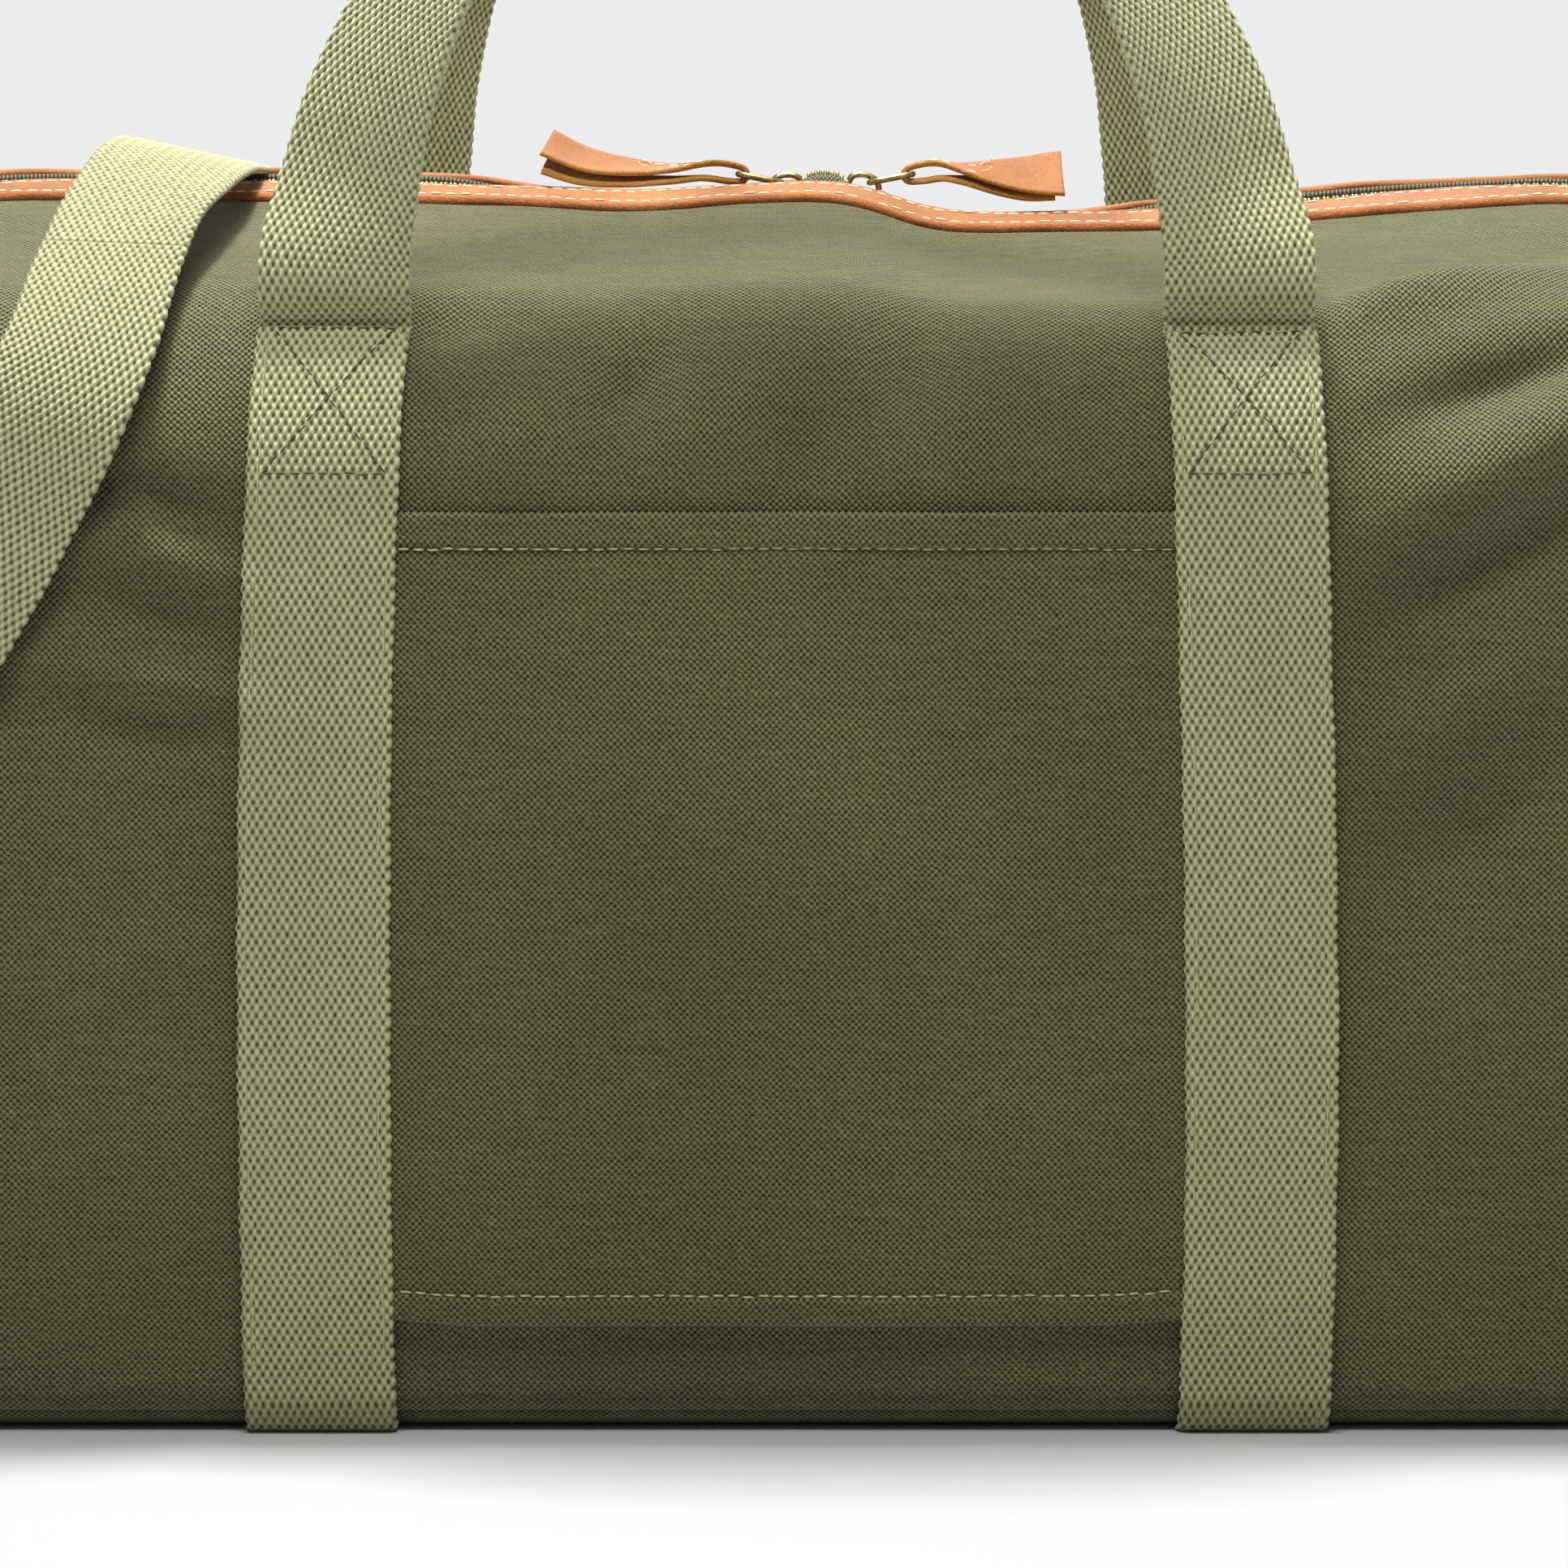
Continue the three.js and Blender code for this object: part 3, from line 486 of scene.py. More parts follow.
def spline(knots, per_span=12):
    """A centripetal curve through knots of any width; only the first three values set the pace."""
    knots = np.asarray(knots, float)
    knots = np.concatenate([[2 * knots[0] - knots[1]], knots, [2 * knots[-1] - knots[-2]]])
    points = []
    for i in range(1, len(knots) - 2):
        p = knots[i - 1:i + 3]
        gaps = np.linalg.norm(np.diff(p[:, :3], axis=0), axis=1) ** 0.5
        t = np.concatenate([[0], np.cumsum(np.maximum(gaps, 1e-6))])
        for s in np.linspace(t[1], t[2], per_span, endpoint=False):
            level = p
            for reach in (1, 2):
                level = [
                    (level[k] * (t[k + reach] - s) + level[k + 1] * (s - t[k])) / (t[k + reach] - t[k])
                    for k in range(4 - reach)
                ]
            points.append((level[0] * (t[2] - s) + level[1] * (s - t[1])) / (t[2] - t[1]))
    points.append(knots[-2])
    return np.array(points)


# ---- the bag's draped skin


FRONT, REAR = -1, 1
SIDES = {"front": FRONT, "rear": REAR}
HANDS = {"left": -1, "right": 1}


def half_section():
    """Half of the canvas outline from the middle of the base to the zip: y outwards, z, normal."""
    sin, cos = math.sin(ROOF_SLOPE), math.cos(ROOF_SLOPE)
    roof_start = HALF_DEPTH - SHOULDER_RADIUS + SHOULDER_RADIUS * sin
    shoulder = CREST - roof_start * math.tan(ROOF_SLOPE) - SHOULDER_RADIUS * cos
    rows = [(y, 0, 0, -1) for y in np.linspace(0, HALF_DEPTH - BASE_RADIUS, 20, endpoint=False)]
    for radius, middle, angles in (
        (BASE_RADIUS, BASE_RADIUS, np.linspace(-math.pi / 2, 0, 12)),
        (SHOULDER_RADIUS, shoulder, np.linspace(0, math.pi / 2 - ROOF_SLOPE, 24)),
    ):
        for a in angles:
            c, s = math.cos(a), math.sin(a)
            rows.append((HALF_DEPTH - radius + radius * c, middle + radius * s, c, s))
    rows.append((0, CREST, sin, cos))
    rows = np.array(rows)
    tuck = TUCK * (1 - np.clip(rows[:, 1] / TUCK_HEIGHT, 0, 1)) ** 2
    slump = SLUMP * smoothstep(rows[:, 1], 0.165, 0.262)
    rows[:, 0] *= 1 - (tuck + slump) / HALF_DEPTH
    return distances(rows[:, :2]), rows


SECTION_LENGTH, SECTION = half_section()
SKIRT = SECTION_LENGTH[-1]


def section(s):
    return [np.interp(s, SECTION_LENGTH, SECTION[:, k]) for k in range(4)]


def reach_of_height(z):
    """The length along the outline at which the side of the bag has this height."""
    return float(np.interp(z, SECTION[20:, 1], SECTION_LENGTH[20:]))


RIPPLES = [
    (rng.uniform(14, 60), rng.uniform(14, 70), rng.uniform(0, 2 * math.pi), rng.uniform(0.15, 0.5))
    for _ in range(16)
]

FOLD_STRENGTH = 2.3
BELLY = {FRONT: 5.5 * MM, REAR: 2.5 * MM}

# Each fold: x, height, angle in degrees, half length, half width and rise before FOLD_STRENGTH.
# Millimetres.
FRONT_FOLDS = [
    (165, 287, 24, 42, 9, 2.6), (186, 268, 24, 36, 8, -2.8), (178, 243, 28, 40, 11, 2.6),
    (176, 218, 30, 40, 10, -3.2), (175, 188, 32, 44, 13, 2.4), (172, 152, 36, 40, 12, -2.6),
    (170, 112, 30, 44, 14, 1.8), (230, 240, 50, 50, 16, -3.0), (235, 150, 70, 60, 18, 2.6),
    (250, 90, 100, 50, 14, -2.4), (-160, 236, -24, 26, 6, -2.4), (-158, 222, -22, 26, 7, 1.0),
    (-155, 205, -18, 28, 7, -2.0), (-160, 178, -10, 34, 8, -1.6), (-160, 190, -12, 30, 6, 1.6),
    (-170, 120, 8, 34, 12, 1.4), (-236, 230, -52, 46, 14, -2.6), (-240, 140, -75, 56, 16, 2.4),
    (-65, 250, 70, 18, 16, 2.6), (-40, 262, 62, 18, 9, -2.2), (-20, 256, 75, 18, 13, 2.4),
    (2, 246, 80, 20, 12, -2.4), (28, 268, 78, 22, 12, -2.4), (48, 254, 70, 24, 14, 1.8),
    (78, 262, 108, 26, 12, -1.8), (-85, 278, 20, 14, 10, -1.6), (0, 150, 0, 90, 26, 1.2),
    (30, 90, 20, 70, 22, -1.2), (-50, 205, 10, 60, 14, -0.8),
]
REAR_FOLDS = [(-x + 17, z - 6, -a, long, wide, rise) for x, z, a, long, wide, rise in FRONT_FOLDS]

# How far the zip sags at places along the bag; it stands up where the sliders meet.
ZIP_DIP = np.array([
    (-300, 1.6), (-262, 1.2), (-228, -2.0), (-208, -3.4), (-150, -3.4), (-100, -2.8), (-74, -1.6),
    (-47, 0.4), (-30, -0.2), (-15, -1.8), (0, -2.6), (10, -2.8), (20, -1.4), (30, 2.2), (38, 5.0),
    (51, 6.0), (83, 5.8), (105, 4.6), (135, 2.4), (163, 0), (205, -2.4), (228, -1.6), (262, 1.2), (300, 1.6),
]) * MM


def zip_dip(x):
    near = [np.interp(x + shift, ZIP_DIP[:, 0], ZIP_DIP[:, 1]) for shift in (-5 * MM, 0, 5 * MM)]
    return sum(near) / 3


def gape(x):
    """Where the far leather stands above the near one and shows the teeth, from 0 to 1."""
    left = smoothstep(x, -255 * MM, -220 * MM) * (1 - smoothstep(x, -95 * MM, -62 * MM))
    right = smoothstep(x, 70 * MM, 105 * MM) * (1 - smoothstep(x, 220 * MM, 255 * MM))
    return left + right


def chain_rise(x):
    """The open chain between the sliders stands up above the leather."""
    return 4.2 * MM * np.exp(-(((x - 10.5 * MM) / (6.5 * MM)) ** 4)) + 0.9 * MM * gape(x)


def drape(x, s, side):
    """How far the canvas stands out from, or in behind, its even outline."""
    z = section(s)[1]
    total = 0
    for kx, ks, phase, rise in RIPPLES:
        total = total + rise * MM * np.sin(kx * x + ks * s + phase + side)
    for fold_x, fold_z, angle, long, wide, rise in FRONT_FOLDS if side < 0 else REAR_FOLDS:
        dx = x / MM - fold_x
        ds = (s - reach_of_height(fold_z * MM)) / MM
        turn = math.radians(angle)
        u = dx * math.cos(turn) + ds * math.sin(turn)
        v = ds * math.cos(turn) - dx * math.sin(turn)
        total = total + FOLD_STRENGTH * rise * MM * np.exp(-((u / long) ** 2) - (v / wide) ** 2)
    held = np.exp(-(((np.abs(x) - HANDLE_HALF) / (0.6 * WEB_WIDTH)) ** 4))
    total = total * (1 - 0.7 * held)
    total = total + BELLY[side] * np.sin(np.clip((z - 8 * MM) / (225 * MM), 0, 1) * math.pi)
    ends = smoothstep(HALF_LENGTH - np.abs(x), 0, 55 * MM)
    body = smoothstep(s, HALF_DEPTH - 8 * MM, HALF_DEPTH + 30 * MM)
    roof = smoothstep(SKIRT - s, 18 * MM, 50 * MM)
    total = total * ends * body * (0.15 + 0.85 * roof)
    round_off = np.clip((np.abs(x) - (HALF_LENGTH - CORNER)) / CORNER, 0, 0.95)
    return total - CORNER * (1 - np.sqrt(1 - round_off ** 2))


def face(x, s, side, lift):
    """The place on the bag at x and s along its outline, and lift out from the canvas."""
    x, s, lift = np.broadcast_arrays(x, s, lift)
    y, z, ny, nz = section(s)
    push = lift + drape(x, s, side)
    sink = zip_dip(x) * smoothstep(z, 0.255, CREST)
    sink = sink + (0.8 if side == FRONT else -2.6) * MM * gape(x) * smoothstep(z, 0.29, CREST)
    return np.stack([x, side * (y + ny * push), np.maximum(z + nz * push - sink, 0.1 * MM)], -1)


def steps(low, high, cell):
    return np.linspace(low, high, max(2, round((high - low) / cell) + 1))


def panel(name, side, xs, ss, lift, thick, material, extra=None):
    """A layer over the skin: xs and ss are its places along and round the bag. extra gives moved
    places round the bag, and how far the layer swells there."""
    x, s = np.meshgrid(xs, ss)
    s, swell = extra(x, s) if extra else (s, 0)
    outer = face(x, s, side, lift + swell)
    inner = face(x, s, side, lift - thick + np.minimum(swell, 0))
    return shell(name, outer, inner, material, np.stack([x, s], -1))


def attach(obj, body, slot, *nodes):
    """Puts a piece on a body, in place of CAD nodes, if it shows any. The slot is not used."""
    if nodes:
        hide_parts(*nodes)
    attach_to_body(obj, body)


def sew(name, rows, thread, slot, body="bag"):
    attach(gather(name, rows, thread), body, slot)


SEAM = reach_of_height(5 * MM)
MOUTH_EDGE = SKIRT - MOUTH / math.cos(ROOF_SLOPE)


def build_canvas():
    xs = steps(-PANEL_REACH, PANEL_REACH, 3 * MM)
    for name, side in SIDES.items():
        ss = steps(SEAM + GAP, MOUTH_EDGE, 2.8 * MM)
        cloth = panel(f"canvas_{name}", side, xs, ss, 0, CANVAS, CANVAS_FINISH)
        attach(cloth, "bag", "canvas", f"{name}_panel")
    x, s = np.meshgrid(xs, steps(-SEAM, SEAM, 3 * MM))
    at_front = (s < 0)[..., None]
    outer, inner = (
        np.where(at_front, face(x, np.abs(s), FRONT, lift), face(x, np.abs(s), REAR, lift))
        for lift in (0, -CANVAS)
    )
    base = shell("canvas_base", outer, inner, CANVAS_FINISH, np.stack([x, s], -1))
    attach(base, "bag", "canvas", "base_panel")


def end_bulge(y, z, end):
    """How far an end panel stands out from its flat place. It mostly sags inwards."""
    wide = np.cos(np.clip(y / HALF_DEPTH, -1, 1) * math.pi / 2)
    tall = np.sin(np.clip(z / CREST, 0, 1) * math.pi)
    dents = 2.0 * np.sin(38 * y + 21 * z + end) + 1.4 * np.sin(60 * z - 25 * y + 2 * end)
    dents += 0.7 * np.sin(110 * y + 60 * z) - 2.4
    creases = 0
    for side, start, slope in ((-1, 0.118, 0.62), (1, 0.104, 0.5), (end, 0.05, 0.2)):
        away = side * y - start + slope * z
        window = smoothstep(z, 0.004, 0.04) * (1 - smoothstep(z, 0.13, 0.2))
        creases = creases + np.exp(-((away / 0.012) ** 2)) * window
    return (dents * wide * tall - 4.2 * creases) * MM


def build_ends():
    inset = CORNER * (1 - math.sqrt(1 - 0.83 ** 2))
    for name, end in HANDS.items():
        ss = steps(HALF_DEPTH - BASE_RADIUS, SKIRT - 1 * MM, 3 * MM)
        y, z, ny, nz = section(ss)
        y = np.maximum(y - ny * inset, 0.4 * MM)
        z = z - nz * inset
        z = z - zip_dip(end * HALF_LENGTH) * smoothstep(z, 0.255, CREST)
        across = np.linspace(-1, 1, 97)
        ys = y[:, None] * across[None, :]
        zs = np.broadcast_to(z[:, None], ys.shape)
        border = np.minimum(y[:, None] - np.abs(ys), 1)
        rim = smoothstep(border, 0, 9 * MM) * smoothstep(zs - inset, -1 * MM, 9 * MM)
        x = end * (HALF_LENGTH - 3.2 * MM * (1 - rim) - 0.2 * MM + end_bulge(ys, zs, end) * rim)
        outer = np.stack([x, ys, zs], -1)
        inner = outer - np.array([end * CANVAS, 0, 0])
        cloth = shell(f"canvas_end_{name}", outer, inner, CANVAS_FINISH, np.stack([ys, zs], -1))
        attach(cloth, "bag", "canvas", f"end_panel_{name}")
        build_seam(name, end, inset)
        bind_seam(name)


def build_seam(name, end, inset):
    """The turned seam that stands proud round an end panel."""
    y, z, ny, nz = section(steps(0, SKIRT, 3 * MM))
    out = -inset + 0.6 * MM
    x = np.full_like(y, end * (HALF_LENGTH - 2.4 * MM))
    front = np.stack([x, -(y + ny * out), z + nz * out], -1)
    rear = front * np.array([1, -1, 1])
    loop = np.concatenate([front, rear[-2:0:-1]])
    loop[:, 2] = np.maximum(loop[:, 2], 1.7 * MM)
    loop[:, 2] -= 0.4 * MM * (1 + np.sin(90 * loop[:, 1])) * (loop[:, 2] > 20 * MM)
    sew(f"seam_roll_{name}", [tube(loop, 1.5 * MM, 8, True)], CANVAS_FINISH, "canvas")


def bind_seam(name):
    """The tape bound over the raw edges inside the seam."""
    low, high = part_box(f"seam_binding_{name}")
    xs = steps(low.x, high.x, 2 * MM)
    lift = -CANVAS - 2 * GAP
    parts = []
    for side in (FRONT, REAR):
        x, s = np.meshgrid(xs, steps(0.5 * MM, SKIRT - 0.5 * MM, 4 * MM))
        parts.append(shell_parts(face(x, s, side, lift), face(x, s, side, lift - 1.2 * MM)))
    attach(gather(f"inside_binding_{name}", parts, TAPE, True), "bag", "zip_tape", f"seam_binding_{name}")


# ---- pocket

POCKET_TOP = reach_of_height(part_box("front_pocket")[1].z)
POCKET_FOOT = reach_of_height(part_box("front_pocket")[0].z)
POCKET_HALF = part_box("front_pocket")[1].x
POCKET_LIFT = GAP + CANVAS
POCKET_HANG = 3.6 * MM
HEM = 9 * MM
FOOT_HEM = 7.6 * MM
HEM_ROOM = 12 * MM


def pocket_hang(x):
    """How much higher the pocket's foot is towards its sides than in the middle."""
    return POCKET_HANG * smoothstep(np.abs(x), 0.6 * POCKET_HALF, POCKET_HALF)


def pocket_places(x, s):
    """The pocket's lower edge hangs lower in the middle; both hems are double and rounded."""
    hang = pocket_hang(x)
    t = (s - POCKET_FOOT) / (POCKET_TOP - POCKET_FOOT)
    moved = s + hang * (1 - t)
    from_top = POCKET_TOP - moved
    from_foot = moved - (POCKET_FOOT + hang)
    swell = 1.2 * MM * (1 - smoothstep(from_top, HEM - 1.5 * MM, HEM))
    swell += 1.1 * MM * (1 - smoothstep(from_foot, FOOT_HEM - 1.5 * MM, FOOT_HEM))
    for stitch, edge in ((from_top, HEM), (from_foot, FOOT_HEM)):
        swell -= 0.45 * MM * np.exp(-(((stitch - edge) / (0.8 * MM)) ** 2))
    for edge in (from_top, from_foot):
        near = np.clip(1 - edge / (1.1 * MM), 0, 1)
        swell -= 1.0 * MM * near ** 2
    swell += 0.8 * MM * np.sin(x * 27 + 0.6) * (1 - smoothstep(from_top, 0, 22 * MM)) + 0.5 * MM
    return moved, swell


def build_pocket():
    hem = np.arange(0, 12, 0.5) * MM
    middle = steps(POCKET_FOOT + HEM_ROOM, POCKET_TOP - HEM_ROOM, 2.6 * MM)
    ss = np.concatenate([POCKET_FOOT + hem, middle, (POCKET_TOP - hem)[::-1]])
    xs = steps(-POCKET_HALF, POCKET_HALF, 2.4 * MM)
    cloth = panel("pocket", FRONT, xs, ss, POCKET_LIFT, CANVAS, CANVAS_FINISH, pocket_places)
    attach(cloth, "bag", "canvas", "front_pocket")
    x = np.linspace(-web_low.x + 1 * MM, web_low.x - 1 * MM, 400)
    seams = {"top": POCKET_TOP - HEM, "foot": POCKET_FOOT + FOOT_HEM + pocket_hang(x)}
    for label, s in seams.items():
        row = stitch_row(face(x, s, FRONT, POCKET_LIFT + 0.45 * MM), 2.9 * MM, 0.8 * MM, 0.3 * MM)
        sew(f"pocket_stitches_{label}", row, OLIVE_THREAD, "canvas")


def stitch_row(line, length, gap, radius):
    """Rods for the stitches of one row, thinner at their ends and a little out of line."""
    total = np.linalg.norm(np.diff(line, axis=0), axis=1).sum()
    count = int(total // (length + gap))
    fine = resample(line, count * 8 + 1)
    bodies = []
    for i in range(count):
        part = fine[i * 8:i * 8 + 7].copy()
        part += rng.normal(0, 0.12 * MM, 3) * (1, 0.3, 1)
        t = np.linspace(-1, 1, len(part))
        width = radius * np.sqrt(np.clip(1.08 - t ** 2, 0.05, 1))
        bodies.append(tube(part, width, 6))
    return bodies


# ---- webbing


def seeds(u, v):
    bumps = np.cos(2 * math.pi * u / SEED_ACROSS) * np.cos(math.pi * v / SEED_ALONG)
    return smoothstep(bumps, -0.95, 0.5)


def woven(name, place, length, cell, start=0.0, one_sided=False):
    """A length of webbing. place(u, v, h) gives points for places across, along and out."""
    v = steps(0, length, cell)[:, None]
    u = (np.linspace(-0.5, 0.5, round(WEB_WIDTH / cell) + 1) * WEB_WIDTH)[None, :]
    rim = 1.3 * MM
    edge = np.clip((np.abs(u) - (WEB_WIDTH / 2 - rim)) / rim, 0, 1)
    rounding = np.sqrt(1 - 0.93 * edge ** 2)
    scallop = 0.28 * MM * np.cos(math.pi * (v + start) / SEED_ALONG + (u > 0) * math.pi)
    spread = u + np.sign(u) * edge * scallop
    relief = SEED_RISE * seeds(spread, v + start) * (1 - 0.5 * edge)
    wander = 0.12 * MM * np.sin(190 * (v + start)) * edge
    top = (WEB_THICK / 2 - 0.5 * SEED_RISE) * rounding + relief
    outer = place(spread + wander, v, top)
    under = -WEB_THICK / 2 * rounding if one_sided else -top
    inner = place(spread + wander, v, under)
    uv = np.stack(np.broadcast_arrays(spread, v + start), -1)
    return shell(name, outer, inner, WEBBING_FINISH, uv)


def along_path(path, normals):
    """A place function for woven(): across, along and out from a line in space."""
    reach = distances(path)
    tangents = unit(np.gradient(path, axis=0))
    sides = unit(np.cross(tangents, normals))
    ups = np.cross(sides, tangents)

    def blend_rows(table, v):
        return np.stack([np.interp(v[:, 0], reach, table[:, k]) for k in range(3)], -1)[:, None]

    def place(u, v, h):
        u, _, h = np.broadcast_arrays(u, v, h)
        return blend_rows(path, v) + u[..., None] * blend_rows(sides, v) + h[..., None] * blend_rows(ups, v)

    return place, float(reach[-1])


SEW_START = reach_of_height(SEW_FOOT)
SEW_TOP = 0.2745
SEW_END = reach_of_height(SEW_TOP)
SEW_LENGTH = SEW_END - SEW_START
WEB_LIFT = 2 * GAP + CANVAS + WEB_THICK / 2
WEB_BOW = 2.6 * MM


def webbing_middle(end, v):
    """Where a webbing's middle is across the bag: it leans in upwards, and bows out half way."""
    share = v / SEW_LENGTH
    bow = WEB_BOW * np.sin(np.clip(share, 0, 1) * math.pi)
    return end * (HANDLE_HALF - WEB_LEAN * np.clip(share, 0, 1.2) ** 1.5 + bow)


def build_sewn_webbing():
    for name, side in SIDES.items():
        for hand, end in HANDS.items():
            def place(u, v, h, side=side, end=end):
                wander = 0.5 * MM * np.sin(v * 23 + end)
                return face(webbing_middle(end, v) + u + wander, SEW_START + v, side, WEB_LIFT + h)
            cell = 0.52 * MM if side == FRONT else 0.7 * MM
            strip = woven(f"webbing_{name}_{hand}", place, SEW_LENGTH, cell, one_sided=True)
            attach(strip, "bag", "webbing", f"{name}_webbing_{hand}")
            sew_webbing(f"{name}_{hand}", side, end)


def sew_webbing(label, side, end):
    """Rows of stitches down both edges, and a crossed box at the top."""
    half = WEB_WIDTH / 2 - 2.6 * MM
    inset = half - 1 * MM
    top, foot = SEW_LENGTH - 0.6 * MM, SEW_LENGTH - 36.5 * MM
    lift = WEB_LIFT + WEB_THICK / 2 + 0.22 * MM

    def line(a, b):
        t = np.linspace(0, 1, 60)
        u = a[0] + (b[0] - a[0]) * t
        v = a[1] + (b[1] - a[1]) * t
        return face(webbing_middle(end, v) + u, SEW_START + v, side, lift)

    edges, box = [], []
    for u in (-half, half):
        edges += stitch_row(line((u, 2 * MM), (u, top)), 3.1 * MM, 0.9 * MM, 0.2 * MM)
    corners = [(-inset, foot), (inset, foot), (inset, top), (-inset, top)]
    for a, b in ((0, 1), (2, 3), (0, 2), (1, 3)):
        box += stitch_row(line(corners[a], corners[b]), 3.0 * MM, 0.3 * MM, 0.26 * MM)
    sew(f"edge_stitches_{label}", edges, OLIVE_THREAD, "webbing")
    sew(f"box_stitches_{label}", box, DARK_THREAD, "webbing")


HANDLE_LEAN = math.radians(5)
HANDLE_TWIST = math.radians(65)
HANDLE_RISE = 147 * MM
HANDLE_SQUARE = {FRONT: 1, REAR: 0.45}


def handle_foot(root, heading, side):
    """Places and normals where a handle leaves the sewn webbing and turns upright."""
    outward = np.array([0, heading[2] * side, -heading[1] * side])
    turned = outward * 0.9 + np.array([0, 0.3 * side, 0])
    return [
        (*root, *outward),
        (*(root + heading * 4 * MM + outward * 1.2 * MM), *turned),
        (*(root + np.array([0, side * 3.2 * MM, 11 * MM])), 0, side, -0.12),
        (*(root + np.array([-0.4 * MM, side * 2.6 * MM, 20 * MM])), 0.05, side, 0.02),
    ]


def handle_arch(root, degrees, side):
    """A place and normal on a handle's loop, at an angle up from its foot."""
    angle = math.radians(degrees)
    half = float(root[0])
    up = HANDLE_RISE * math.sin(angle)
    across = half * math.cos(angle) ** HANDLE_SQUARE[side]
    twist = HANDLE_TWIST * (1 - (1 - degrees / 90) ** 2)
    slope = math.atan2(half * math.sin(angle), HANDLE_RISE * math.cos(angle))
    y = root[1] - side * (up * math.sin(HANDLE_LEAN) - 1.5 * MM * math.sin(2 * angle))
    place = across, y, root[2] + 2 * MM + up * math.cos(HANDLE_LEAN)
    flat = math.sin(twist)
    return (*place, flat * math.cos(slope), side * math.cos(twist), flat * math.sin(slope))


def build_handles():
    for name, side in SIDES.items():
        root, before = (
            face(webbing_middle(1, SEW_LENGTH), SEW_END - back, side, WEB_LIFT) for back in (0, 2 * MM)
        )
        knots = handle_foot(root, (root - before) / np.linalg.norm(root - before), side)
        knots += [handle_arch(root, degrees, side) for degrees in range(14, 91, 8)]
        right = spline(knots, 14)
        left = (right * np.array([-1, 1, 1, -1, 1, 1]))[::-1][1:]
        line = resample(np.concatenate([right, left]), 500)
        place, length = along_path(line[:, :3], unit(line[:, 3:]))
        strip = woven(f"handle_{name}", place, length, 0.6 * MM, SEW_LENGTH)
        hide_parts(f"{name}_handle")
        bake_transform(strip)


# ---- shoulder strap


def beside_bag(x, height, away, side):
    """A strap's place beside the canvas, and the way out from the bag there. Millimetres."""
    crown = SHOULDER_RADIUS - math.sqrt(SHOULDER_RADIUS ** 2 - (WEB_WIDTH / 2) ** 2)
    y, z, ny, nz = section(reach_of_height(height * MM))
    out = crown + away * MM
    return (x * MM, side * (y + ny * out), z + nz * out, 0, side * ny, nz)


def hook_end(name):
    """Where a strap meets a swivel eye, and the way that it leaves."""
    swivel = JOINTS[f"hook_{name}_swivel"]
    return Vector(swivel["pos_m"]), -Vector(swivel["axis"])


def build_route():
    """Places and normals along the strap, from the left hook over the bag to the right one."""
    wall, deep, top = HALF_LENGTH / MM, HALF_DEPTH / MM, CREST / MM
    half = WEB_WIDTH / 2 / MM
    drop = 28.6 + 16

    def from_hook(name, distance, *normal):
        point, way = hook_end(name)
        return (*(point + way * (drop + distance) * MM), *normal)

    def at(x, y, z, *normal):
        return (x * MM, y * MM, z * MM, *normal)

    up_front = [
        (28, 99, 11.5), (66, 165, 6.5), (104, top - 83, 2.5), (121, top - 52, 4.5), (131, top - 26, 11.5),
    ]
    down_rear = [
        (138, top - 26, 9.5), (137, top - 52, 6.5), (141, top - 98, 5.5), (160, 162, 5.5), (199, 117, 6.5),
        (260, 86, 6.5), (340, 73, 6.5), (420, 72, 6.5), (500, 83, 6.5), (562, 104, 6.5),
    ]
    return [
        *[from_hook("left", distance, 1, 0, 0) for distance in (0, 10, 30)],
        at(-wall - half - 5, -36, 112, 0.95, 0.3, 0),
        at(-wall - half - 11, -82, 66, 0.6, 0.8, -0.1),
        at(-wall - half - 11, -deep + 22, 36, 0.2, 0.6, -0.75),
        at(-wall - half - 2, -deep - 6, 29, 0, -0.3, -0.95),
        at(-wall + 2, -deep - half, 54, 0, -0.95, -0.1),
        *[beside_bag(x - wall, height, away, FRONT) for x, height, away in up_front],
        at(-wall + 138, -60, top + 5, 0.2, -0.2, 0.97),
        at(-wall + 140, 0, top + 9, 0.2, 0, 0.98),
        at(-wall + 140, 60, top + 3, 0.1, 0.2, 0.98),
        *[beside_bag(x - wall, height, away, REAR) for x, height, away in down_rear],
        at(wall + 6, deep + 4, 125, 0.7, 0.7, 0),
        from_hook("right", 48, 1, 0.15, 0),
        *[from_hook("right", distance, 1, 0, 0) for distance in (28, 10, 0)],
    ]


STRAP_STEPS = 110
RETURN_STEPS = 16


